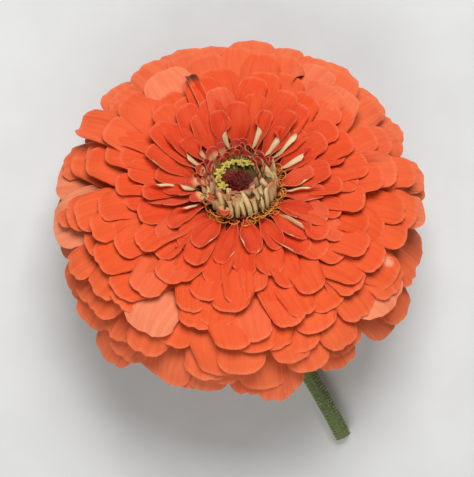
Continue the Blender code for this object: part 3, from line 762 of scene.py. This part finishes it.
def build_involucre(inside, outside, wall):
    """The cup under the bloom: a turned wall and rows of broad bracts that overlap upwards."""
    rings = press_on_floor(pose(turned(CUP_R, CUP_Z, CUP_SIDES)), 0.0)
    cup = put_rings("cup_wall", rings, {}, [wall])
    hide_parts("involucre")
    draw = np.random.default_rng(BRACT_SEED)
    count = BRACT_ROWS * BRACTS_A_ROW
    row = np.repeat(np.arange(BRACT_ROWS), BRACTS_A_ROW)
    place = np.tile(np.arange(BRACTS_A_ROW), BRACT_ROWS) + 0.5 * (row % 2)
    foot = BRACT_FOOT + BRACT_STEP * row
    tip = np.minimum(foot + BRACT_LENGTH * draw.uniform(0.9, 1.1, count), mm(-7.6))
    grown = {
        "az": place * 2 * math.pi / BRACTS_A_ROW + draw.normal(0, 0.06, count),
        "root_r": np.interp(foot, CUP_Z[1:-1], CUP_R[1:-1]) - mm(0.3),
        "root_z": foot,
        "bend_r": np.interp(0.5 * (foot + tip), CUP_Z[1:-1], CUP_R[1:-1]) + mm(0.7) + mm(0.12) * row,
        "bend_z": 0.5 * (foot + tip),
        "tip_r": np.interp(tip, CUP_Z[1:-1], CUP_R[1:-1]) + mm(0.5),
        "tip_z": tip,
        "width": BRACT_WIDTH * draw.uniform(0.9, 1.1, count),
        "raise": draw.normal(0, 0.02, count),
        "roll": draw.normal(0, 0.05, count),
        "sway": draw.normal(0, 0.04, count),
        "phase": draw.uniform(0, 2 * math.pi, count),
        "tone": draw.uniform(0, 1, count),
        **even(count, reach=1, claw=mm(2.2), open_from=0.0, open_to=0.6, round=0.5, nose=0),
        **even(count, base_roll=0.35, cup=0.36, fold=0, curl_left=0, curl_right=0, curl_to=1),
        **even(count, pleat=0, ripple=mm(0.15), droop=0, notch=0.02),
    }
    middle = pose(ligules(grown, 15, 13))
    facts = {"tone": grown["tone"][:, None, None]}
    piece = put_blades("bracts", middle, BRACT_THICKNESS, facts, [inside, outside])
    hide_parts("involucre")


def stem_path(steps):
    """The stem's midline: a cubic Bezier from the cup's foot to the cut, straight off both."""
    top = pose(np.array([0.0, 0.0, STEM_TOP_Z]))
    first = pose(np.array([0.0, 0.0, STEM_TOP_Z - STEM_FIRST_REACH]))
    end = np.array(STEM_CUT_END)
    last = end - np.array(STEM_LAST_REACH)
    s = np.linspace(0, 1, steps)[:, None]
    return (1 - s) ** 3 * top + 3 * s * (1 - s) ** 2 * first + 3 * s**2 * (1 - s) * last + s**3 * end


def stem_radius(share):
    """The stem's radius: it widens into the neck by the given power of what is left to go."""
    return STEM_R * (1 + (STEM_NECK_R / STEM_R - 1) * (1 - share) ** STEM_FLARE)


def build_stem(green, hair):
    """The cut stem: a ribbed tube with a dished pale cut, and short hairs that lean to the bloom."""
    path = stem_path(STEM_STEPS)
    share = np.linspace(0, 1, STEM_STEPS)
    ends = np.repeat(path[-1:], len(CUT_SHARES), axis=0)
    ahead = (path[-1] - path[-2]) / np.linalg.norm(path[-1] - path[-2])
    ends = ends - ahead * (CUT_DISH * (1 - np.array(CUT_SHARES)) - mm(0.02))[:, None]
    turn = np.linspace(0, 2 * math.pi, STEM_SIDES, endpoint=False)
    ribs = 1 + 0.035 * np.cos(STEM_RIBS * turn) + 0.012 * np.cos(23 * turn)
    radius = stem_radius(share)[:, None] * ribs
    rings = carry_rings(path[None], radius[None], STEM_SIDES)
    last = rings[:, -1:] - path[-1]
    faces = [ends[i] + last[0] * share_in for i, share_in in enumerate(CUT_SHARES)]
    rings = np.concatenate([rings, np.stack(faces, axis=1)], axis=1)
    cut = np.concatenate([np.zeros(STEM_STEPS), 1.0 + (1 - np.array(CUT_SHARES))])[None, :, None]
    near = np.concatenate([share, np.ones(len(CUT_SHARES))])[None, :, None]
    rings = press_on_floor(rings, 0.0)
    piece = put_rings("ribbed_stem", rings, {"cut": cut, "down": near}, [green])
    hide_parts("stem")

    draw = np.random.default_rng(HAIR_SEED)
    step = draw.integers(2, STEM_STEPS - 1, HAIRS)
    side = draw.integers(0, STEM_SIDES, HAIRS)
    foot = rings[0, step, side]
    away = foot - path[step]
    away /= np.linalg.norm(away, axis=1, keepdims=True)
    back = path[step - 1] - path[step]
    back /= np.linalg.norm(back, axis=1, keepdims=True)
    aim = away + back * draw.uniform(0.0, 0.7, HAIRS)[:, None] + draw.normal(0, 0.18, (HAIRS, 3))
    tip = foot + aim * (mm(1) * draw.uniform(0.5, 1.2, HAIRS))[:, None]
    tip[:, 2] = np.maximum(tip[:, 2], mm(0.05))
    path_of_hair = np.stack([foot - away * mm(0.1), 0.5 * (foot + tip), tip], axis=1)
    thin = np.array([0.055, 0.04, 0.012])[None, :, None] * mm(1)
    hairs = carry_rings(path_of_hair, thin, 3)
    put_rings("stem_hairs", hairs, {}, [hair])


def add(tree, kind, **settings):
    """A node with its settings."""
    made = tree.nodes.new(kind)
    for name, value in settings.items():
        setattr(made, name, value)
    return made


def feed(tree, source, socket):
    """Links a socket to another, or gives it a plain value."""
    if isinstance(source, bpy.types.NodeSocket):
        tree.links.new(source, socket)
    elif isinstance(source, tuple) and len(source) == 3 and socket.type == "RGBA":
        socket.default_value = (*source, 1.0)
    else:
        socket.default_value = source


def reckon(tree, operation, *terms, clamp=False):
    """The result of a Math node."""
    made = add(tree, "ShaderNodeMath", operation=operation, use_clamp=clamp)
    for term, socket in zip(terms, made.inputs):
        feed(tree, term, socket)
    return made.outputs[0]


def between(tree, share, first, second, blend="MIX"):
    """The first colour going over to the second by share."""
    made = add(tree, "ShaderNodeMix", data_type="RGBA", blend_type=blend)
    feed(tree, share, made.inputs["Factor"])
    feed(tree, first, made.inputs["A"])
    feed(tree, second, made.inputs["B"])
    return made.outputs["Result"]


def band(tree, value, low, high, top=1.0):
    """0 below low and top above high, with a soft passage between them."""
    made = add(tree, "ShaderNodeMapRange", interpolation_type="SMOOTHSTEP")
    for source, name in ((value, "Value"), (low, "From Min"), (high, "From Max"), (top, "To Max")):
        feed(tree, source, made.inputs[name])
    return made.outputs["Result"]


def ramp(tree, share, *stops):
    """Colours in passage from one stop to the next."""
    made = add(tree, "ShaderNodeValToRGB")
    first, *others = stops
    elements = made.color_ramp.elements
    elements[0].position, elements[0].color = first[0], (*first[1], 1.0)
    elements[1].position, elements[1].color = others[-1][0], (*others[-1][1], 1.0)
    for place, colour in others[:-1]:
        elements.new(place).color = (*colour, 1.0)
    feed(tree, share, made.inputs["Fac"])
    return made.outputs["Color"]


def fact(tree, name):
    """A value that the piece carries at each point."""
    return add(tree, "ShaderNodeAttribute", attribute_name=name).outputs["Fac"]


def blade_place(tree):
    """How far across and how far along the blade a point lies, both from 0 to 1."""
    parted = add(tree, "ShaderNodeSeparateXYZ")
    tree.links.new(add(tree, "ShaderNodeUVMap", uv_map="blade").outputs["UV"], parted.inputs[0])
    return parted.outputs["X"], parted.outputs["Y"]


def finish(name, roughness, **constants):
    """A Principled material with its plain sockets set."""
    made = bpy.data.materials.new(name)
    made.use_nodes = True
    shader = made.node_tree.nodes["Principled BSDF"]
    shader.inputs["Roughness"].default_value = roughness
    for socket, value in constants.items():
        shader.inputs[socket.replace("_", " ")].default_value = value
    return made, made.node_tree, shader


def group_sockets(group, inputs, outputs):
    """Names a node group's sockets and gives it its two ends."""
    for name, value in inputs.items():
        made = group.interface.new_socket(name, in_out="INPUT", socket_type="NodeSocketFloat")
        made.default_value = value
    for name in outputs:
        group.interface.new_socket(name, in_out="OUTPUT", socket_type="NodeSocketFloat")
    return group.nodes.new("NodeGroupInput"), group.nodes.new("NodeGroupOutput")


def make_veins_group():
    """Lengthwise veins: noise drawn out along the blade, a fine set over a coarse one."""
    group = bpy.data.node_groups.new("lengthwise veins", "ShaderNodeTree")
    inputs = {"Across": 0.0, "Along": 0.0, "Seed": 0.0, "Count": 20.0}
    given, out = group_sockets(group, inputs, ("Veins", "Grain"))
    drawn = []
    for times, stretch in ((1.0, 1.6), (2.7, 5.0)):
        place = add(group, "ShaderNodeCombineXYZ")
        wide = reckon(group, "MULTIPLY", given.outputs["Count"], times)
        feed(group, reckon(group, "MULTIPLY", given.outputs["Across"], wide), place.inputs["X"])
        feed(group, reckon(group, "MULTIPLY", given.outputs["Along"], stretch), place.inputs["Y"])
        feed(group, reckon(group, "MULTIPLY", given.outputs["Seed"], 97.0), place.inputs["Z"])
        noise = add(group, "ShaderNodeTexNoise")
        noise.inputs["Scale"].default_value = 1.0
        noise.inputs["Detail"].default_value = 3.0
        feed(group, place.outputs["Vector"], noise.inputs["Vector"])
        drawn.append(noise.outputs["Fac"])
    feed(group, band(group, drawn[0], 0.35, 0.65), out.inputs["Veins"])
    feed(group, band(group, drawn[1], 0.3, 0.7), out.inputs["Grain"])
    return group


def make_mottle_group():
    """Soft patches over the whole object, from noise on Object coordinates."""
    group = bpy.data.node_groups.new("soft mottle", "ShaderNodeTree")
    given, out = group_sockets(group, {"Scale": 100.0, "Detail": 3.0}, ("Mottle",))
    noise = add(group, "ShaderNodeTexNoise")
    place = add(group, "ShaderNodeTexCoord")
    feed(group, place.outputs["Object"], noise.inputs["Vector"])
    feed(group, given.outputs["Scale"], noise.inputs["Scale"])
    feed(group, given.outputs["Detail"], noise.inputs["Detail"])
    feed(group, band(group, noise.outputs["Fac"], 0.3, 0.7), out.inputs["Mottle"])
    return group


def make_fleck_group():
    """A brown mark: the distance on the ground plan from a spot, roughened by noise."""
    group = bpy.data.node_groups.new("brown fleck", "ShaderNodeTree")
    given, out = group_sockets(group, {"X": 0.0, "Y": 0.0, "Radius": mm(1.0)}, ("Fleck",))
    parted = add(group, "ShaderNodeSeparateXYZ")
    feed(group, add(group, "ShaderNodeTexCoord").outputs["Object"], parted.inputs[0])
    aside = reckon(group, "SUBTRACT", parted.outputs["X"], given.outputs["X"])
    ahead = reckon(group, "SUBTRACT", parted.outputs["Y"], given.outputs["Y"])
    square = reckon(group, "MULTIPLY_ADD", aside, aside, reckon(group, "MULTIPLY", ahead, ahead))
    away = reckon(group, "DIVIDE", reckon(group, "SQRT", square), given.outputs["Radius"])
    noise = add(group, "ShaderNodeTexNoise")
    noise.inputs["Scale"].default_value = 1100.0
    feed(group, add(group, "ShaderNodeTexCoord").outputs["Object"], noise.inputs["Vector"])
    ragged = reckon(group, "MULTIPLY_ADD", noise.outputs["Fac"], 1.2, away)
    feed(group, reckon(group, "SUBTRACT", 1.0, band(group, ragged, 0.8, 1.7)), out.inputs["Fleck"])
    return group


def veins_on(tree, seed, count):
    """Places the veins group on a blade: its coarse veins and its fine grain."""
    across, along = blade_place(tree)
    made = add(tree, "ShaderNodeGroup", node_tree=bpy.data.node_groups["lengthwise veins"])
    for source, name in ((across, "Across"), (along, "Along"), (seed, "Seed"), (count, "Count")):
        feed(tree, source, made.inputs[name])
    return made.outputs["Veins"], made.outputs["Grain"]


def mottle_on(tree, scale, detail=3.0):
    made = add(tree, "ShaderNodeGroup", node_tree=bpy.data.node_groups["soft mottle"])
    made.inputs["Scale"].default_value = scale
    made.inputs["Detail"].default_value = detail
    return made.outputs["Mottle"]


def relief(tree, shader, height, distance, strength=1.0):
    """Feeds a height to the shader's normal."""
    made = add(tree, "ShaderNodeBump")
    made.inputs["Strength"].default_value = strength
    made.inputs["Distance"].default_value = distance
    feed(tree, height, made.inputs["Height"])
    feed(tree, made.outputs["Normal"], shader.inputs["Normal"])


def margin_share(tree):
    """1 along the margins and the tip of a blade, 0 inside it."""
    across, along = blade_place(tree)
    off_middle = reckon(tree, "ABSOLUTE", reckon(tree, "SUBTRACT", across, 0.5))
    sides = band(tree, off_middle, 0.43, 0.5)
    tip = band(tree, along, 0.94, 1.0)
    return reckon(tree, "MAXIMUM", sides, tip)


def petal_face_finish():
    """Coral petals: redder and deeper inside, salmon outside, with fine lengthwise veins."""
    made, tree, shader = finish(
        "coral petal face", 0.6, Sheen_Weight=0.02, Sheen_Roughness=0.6, Specular_IOR_Level=0.12
    )
    age, tone, pale = fact(tree, "age"), fact(tree, "tone"), fact(tree, "pale")
    across, along = blade_place(tree)
    veins, grain = veins_on(tree, tone, 15.0)
    colour = ramp(
        tree,
        age,
        (0.0, (0.62, 0.032, 0.009)),
        (0.25, (0.78, 0.066, 0.012)),
        (0.6, (0.84, 0.100, 0.021)),
        (0.8, (0.83, 0.135, 0.040)),
        (1.0, (0.82, 0.170, 0.065)),
    )
    light = reckon(tree, "MULTIPLY", tone, 0.22)
    colour = between(tree, light, colour, (0.88, 0.16, 0.048))
    # Paler petals: their own paleness, and on the older back petals a painted sky sheen
    colour = between(tree, pale, colour, (0.88, 0.30, 0.155))
    foot = reckon(tree, "SUBTRACT", 1.0, band(tree, along, 0.0, 0.55))
    colour = between(tree, reckon(tree, "MULTIPLY", foot, 0.6), colour, (0.56, 0.022, 0.006))
    # Lighter margins and tip: partly the petal's own paler edge, partly a painted highlight where the thin edges
    # catch the light
    rim = reckon(tree, "MULTIPLY", margin_share(tree), 0.30)
    colour = between(tree, rim, colour, (0.92, 0.30, 0.15))
    colour = between(tree, reckon(tree, "MULTIPLY", veins, 0.24), colour, (0.64, 0.035, 0.012))
    cloud = reckon(tree, "MULTIPLY", mottle_on(tree, 130.0), 0.14)
    colour = between(tree, cloud, colour, (0.90, 0.19, 0.06))
    tip = reckon(tree, "MULTIPLY", band(tree, along, 0.88, 0.97), fact(tree, "browned"))
    colour = between(tree, tip, colour, (0.20, 0.055, 0.022))
    for spot, radius, mark_colour in FLECKS_AT:
        mark = add(tree, "ShaderNodeGroup", node_tree=bpy.data.node_groups["brown fleck"])
        for name, value in zip(("X", "Y", "Radius"), (*spot, radius)):
            mark.inputs[name].default_value = value
        colour = between(tree, mark.outputs["Fleck"], colour, mark_colour)
    feed(tree, colour, shader.inputs["Base Color"])
    height = reckon(tree, "ADD", veins, reckon(tree, "MULTIPLY", grain, 0.5))
    relief(tree, shader, height, mm(0.14), 0.6)
    return made


def petal_underside_finish():
    """Petal undersides: cream and pale green on young petals, dull salmon on old ones."""
    made, tree, shader = finish("petal underside", 0.65, Specular_IOR_Level=0.25)
    age, tone = fact(tree, "age"), fact(tree, "tone")
    across, along = blade_place(tree)
    veins, grain = veins_on(tree, tone, 9.0)
    colour = ramp(
        tree,
        age,
        (0.0, (0.88, 0.70, 0.42)),
        (0.2, (0.84, 0.60, 0.34)),
        (0.5, (0.72, 0.30, 0.14)),
        (1.0, (0.70, 0.22, 0.10)),
    )
    green = reckon(tree, "MULTIPLY", reckon(tree, "SUBTRACT", 1.0, band(tree, along, 0.1, 0.7)), 0.6)
    colour = between(tree, green, colour, (0.52, 0.48, 0.17))
    colour = between(tree, reckon(tree, "MULTIPLY", veins, 0.35), colour, (0.50, 0.22, 0.08))
    feed(tree, colour, shader.inputs["Base Color"])
    relief(tree, shader, veins, mm(0.15), 0.7)
    return made


def receptacle_finish():
    made, tree, shader = finish("receptacle green", 0.8)
    patches = mottle_on(tree, 900.0)
    colour = between(tree, patches, (0.10, 0.035, 0.012), (0.20, 0.13, 0.03))
    feed(tree, colour, shader.inputs["Base Color"])
    relief(tree, shader, patches, mm(0.4))
    return made


def young_face_finish():
    """Inside of the young florets: red-orange hoods over cream throats."""
    made, tree, shader = finish("young floret face", 0.55, Specular_IOR_Level=0.15)
    tone = fact(tree, "tone")
    across, along = blade_place(tree)
    veins, grain = veins_on(tree, tone, 7.0)
    colour = ramp(
        tree,
        along,
        (0.0, (0.62, 0.50, 0.22)),
        (0.52, (0.76, 0.52, 0.24)),
        (0.72, (0.66, 0.070, 0.035)),
        (1.0, (0.52, 0.045, 0.028)),
    )
    colour = between(tree, reckon(tree, "MULTIPLY", margin_share(tree), 0.55), colour, (0.86, 0.26, 0.17))
    colour = between(tree, reckon(tree, "MULTIPLY", veins, 0.25), colour, (0.50, 0.03, 0.015))
    feed(tree, colour, shader.inputs["Base Color"])
    relief(tree, shader, veins, mm(0.1), 0.6)
    return made


def young_outside_finish():
    """Outside of the young florets: cream with green and rosy lines, rosy at the hood's rim."""
    made, tree, shader = finish("young floret outside", 0.6, Specular_IOR_Level=0.15)
    tone, blush = fact(tree, "tone"), fact(tree, "blush")
    across, along = blade_place(tree)
    veins, grain = veins_on(tree, tone, 12.0)
    colour = between(tree, tone, (0.92, 0.76, 0.39), (0.82, 0.72, 0.31))
    foot = reckon(tree, "SUBTRACT", 1.0, band(tree, along, 0.0, 0.5))
    colour = between(tree, reckon(tree, "MULTIPLY", foot, 0.4), colour, (0.52, 0.52, 0.16))
    colour = between(tree, reckon(tree, "MULTIPLY", veins, 0.40), colour, (0.66, 0.30, 0.12))
    top = reckon(tree, "MULTIPLY", band(tree, along, 0.55, 1.0), blush)
    colour = between(tree, reckon(tree, "MULTIPLY", top, 0.75), colour, (0.70, 0.16, 0.08))
    rim = reckon(tree, "MULTIPLY", margin_share(tree), 0.45)
    colour = between(tree, rim, colour, (0.74, 0.28, 0.15))
    feed(tree, colour, shader.inputs["Base Color"])
    height = reckon(tree, "ADD", veins, reckon(tree, "MULTIPLY", grain, 0.4))
    relief(tree, shader, height, mm(0.15), 0.8)
    return made


def heart_finish():
    """Olive brown walls, a yellow-green ring floor and a maroon middle, by zone."""
    made, tree, shader = finish("crown heart", 0.8)
    colour = ramp(
        tree,
        fact(tree, "zone"),
        (0.0, (0.16, 0.045, 0.015)),
        (0.3, (0.26, 0.14, 0.04)),
        (0.45, (0.20, 0.10, 0.03)),
        (0.62, (0.24, 0.18, 0.03)),
        (0.8, (0.10, 0.012, 0.008)),
    )
    patches = mottle_on(tree, 1200.0)
    colour = between(tree, reckon(tree, "MULTIPLY", patches, 0.4), colour, (0.05, 0.012, 0.006))
    feed(tree, colour, shader.inputs["Base Color"])
    relief(tree, shader, patches, mm(0.4))
    return made


def star_finish():
    """Yellow-green velvet lobes over a greener tube."""
    made, tree, shader = finish("star floret yellow", 0.6, Sheen_Weight=0.3, Sheen_Roughness=0.5)
    colour = ramp(
        tree,
        fact(tree, "inner"),
        (0.0, (0.42, 0.36, 0.05)),
        (0.45, (0.80, 0.62, 0.06)),
        (0.7, (0.82, 0.66, 0.09)),
        (1.0, (0.40, 0.20, 0.015)),
    )
    colour = between(tree, reckon(tree, "MULTIPLY", fact(tree, "tone"), 0.5), colour, (0.52, 0.50, 0.05))
    grain = mottle_on(tree, 2500.0)
    colour = between(tree, reckon(tree, "MULTIPLY", grain, 0.3), colour, (0.45, 0.30, 0.02))
    feed(tree, colour, shader.inputs["Base Color"])
    relief(tree, shader, grain, mm(0.15))
    return made


def chaff_finish():
    """Dark maroon scales with rosy fringed tips."""
    made, tree, shader = finish("chaff maroon", 0.6, Sheen_Weight=0.04, Specular_IOR_Level=0.2)
    tone = fact(tree, "tone")
    across, along = blade_place(tree)
    veins, grain = veins_on(tree, tone, 6.0)
    colour = between(tree, tone, (0.24, 0.012, 0.010), (0.46, 0.045, 0.022))
    colour = between(tree, band(tree, along, 0.6, 1.0, 0.8), colour, (0.66, 0.12, 0.06))
    colour = between(tree, reckon(tree, "MULTIPLY", veins, 0.4), colour, (0.07, 0.006, 0.005))
    feed(tree, colour, shader.inputs["Base Color"])
    relief(tree, shader, veins, mm(0.1))
    return made


def thread_finish():
    """Orange-yellow styles, paler at the ends."""
    made, tree, shader = finish("style orange", 0.45, Specular_IOR_Level=0.4)
    turn, along = blade_place(tree)
    colour = ramp(
        tree, along, (0.0, (0.58, 0.26, 0.05)), (0.5, (0.76, 0.30, 0.03)), (1.0, (0.84, 0.42, 0.06))
    )
    colour = between(tree, reckon(tree, "MULTIPLY", fact(tree, "tone"), 0.5), colour, (0.66, 0.16, 0.02))
    grain = mottle_on(tree, 1500.0)
    colour = between(tree, reckon(tree, "MULTIPLY", grain, 0.2), colour, (0.40, 0.14, 0.02))
    feed(tree, colour, shader.inputs["Base Color"])
    relief(tree, shader, grain, mm(0.08))
    return made


def bract_finish(name, green, margin):
    """Green bracts with lengthwise lines and a dark fringed margin."""
    made, tree, shader = finish(name, 0.5, Specular_IOR_Level=0.35)
    tone = fact(tree, "tone")
    across, along = blade_place(tree)
    veins, grain = veins_on(tree, tone, 14.0)
    colour = between(tree, reckon(tree, "MULTIPLY", tone, 0.5), green, (0.20, 0.30, 0.06))
    colour = between(tree, reckon(tree, "MULTIPLY", veins, 0.4), colour, (0.05, 0.12, 0.02))
    edge = band(tree, reckon(tree, "MULTIPLY_ADD", grain, 0.06, along), 0.80, 0.92)
    off_middle = reckon(tree, "ABSOLUTE", reckon(tree, "SUBTRACT", across, 0.5))
    upper = reckon(tree, "MULTIPLY", band(tree, off_middle, 0.38, 0.46), band(tree, along, 0.45, 0.7))
    colour = between(tree, reckon(tree, "MAXIMUM", edge, upper), colour, margin)
    feed(tree, colour, shader.inputs["Base Color"])
    relief(tree, shader, reckon(tree, "ADD", veins, grain), mm(0.12), 0.7)
    return made


def cup_finish():
    made, tree, shader = finish("cup green", 0.6)
    patches = mottle_on(tree, 500.0)
    feed(tree, between(tree, patches, (0.07, 0.13, 0.03), (0.13, 0.20, 0.05)), shader.inputs["Base Color"])
    relief(tree, shader, patches, mm(0.2))
    return made


def stem_finish():
    """Olive green stem, flushed red in streaks, with a pale pith at the cut."""
    made, tree, shader = finish("stem green", 0.5, Specular_IOR_Level=0.35)
    turn, along = blade_place(tree)
    veins, grain = veins_on(tree, 0.37, 16.0)
    colour = between(tree, veins, (0.115, 0.20, 0.055), (0.20, 0.29, 0.09))
    patches = mottle_on(tree, 90.0)
    colour = between(tree, reckon(tree, "MULTIPLY", patches, 0.35), colour, (0.25, 0.13, 0.05))
    fine = mottle_on(tree, 1800.0)
    colour = between(tree, reckon(tree, "MULTIPLY", fine, 0.25), colour, (0.07, 0.13, 0.04))
    cut = fact(tree, "cut")
    colour = between(tree, band(tree, cut, 0.9, 1.0), colour, (0.22, 0.34, 0.10))
    colour = between(tree, band(tree, cut, 1.05, 1.35), colour, (0.60, 0.64, 0.36))
    feed(tree, colour, shader.inputs["Base Color"])
    relief(tree, shader, reckon(tree, "ADD", veins, fine), mm(0.2), 0.8)
    return made


def hair_finish():
    made, tree, shader = finish("stem hairs", 0.5)
    turn, along = blade_place(tree)
    colour = between(tree, along, (0.45, 0.50, 0.30), (0.80, 0.82, 0.70))
    feed(tree, colour, shader.inputs["Base Color"])
    return made


def make_floor():
    """A plain pale floor, larger than any view of it."""
    bpy.ops.mesh.primitive_plane_add(size=6.0, location=(0.0, 0.0, -mm(0.05)))
    floor = bpy.context.active_object
    floor.name = "floor"
    made, tree, shader = finish("pale floor", 0.85)
    grain = mottle_on(tree, 60.0)
    feed(tree, between(tree, grain, (0.70, 0.70, 0.69), (0.73, 0.73, 0.72)), shader.inputs["Base Color"])
    floor.data.materials.append(made)


def soft_light(name, place, power, size):
    """A square light that faces the bloom."""
    lamp = bpy.data.lights.new(name, "AREA")
    lamp.energy = power
    lamp.size = size
    made = bpy.data.objects.new(name, lamp)
    bpy.context.scene.collection.objects.link(made)
    made.location = place
    towards = Vector(BLOOM_AT) - made.location
    made.rotation_mode = "QUATERNION"
    made.rotation_quaternion = towards.to_track_quat("-Z", "Y")


def make_studio():
    """Soft light from above and behind, a weaker one from the front left, and a pale sky."""
    soft_light("sky light", (0.04, 0.36, 0.60), 4.3, 0.34)
    soft_light("front light", (-0.10, -0.55, 0.45), 2.4, 0.6)
    world = bpy.data.worlds.new("pale sky")
    world.use_nodes = True
    sky = world.node_tree.nodes["Background"]
    sky.inputs["Color"].default_value = (0.80, 0.85, 0.85, 1.0)
    sky.inputs["Strength"].default_value = 0.18
    bpy.context.scene.world = world
    bpy.context.scene.view_settings.view_transform = "Standard"


def make_camera():
    """Looks straight down on the bloom, with the photograph's framing."""
    lens = bpy.data.cameras.new("camera")
    lens.lens = lens.sensor_width * VIEW_DISTANCE / VIEW_HEIGHT
    lens.clip_start = mm(10.0)
    made = bpy.data.objects.new("camera", lens)
    bpy.context.scene.collection.objects.link(made)
    made.location = (*VIEW_AT, BLOOM_AT[2] + VIEW_DISTANCE)
    bpy.context.scene.camera = made


make_camera()
make_veins_group()
make_mottle_group()
make_fleck_group()
make_floor()
make_studio()
build_petals(petal_face_finish(), petal_underside_finish())
build_receptacle(receptacle_finish())
build_crown(young_face_finish(), young_outside_finish())
build_heart(heart_finish())
build_stars(star_finish())
build_chaff(chaff_finish())
build_styles(thread_finish())
build_involucre(
    bract_finish("bract inside", (0.32, 0.38, 0.14), (0.20, 0.16, 0.06)),
    bract_finish("bract outside", (0.13, 0.24, 0.05), (0.035, 0.022, 0.012)),
    cup_finish(),
)
build_stem(stem_finish(), hair_finish())
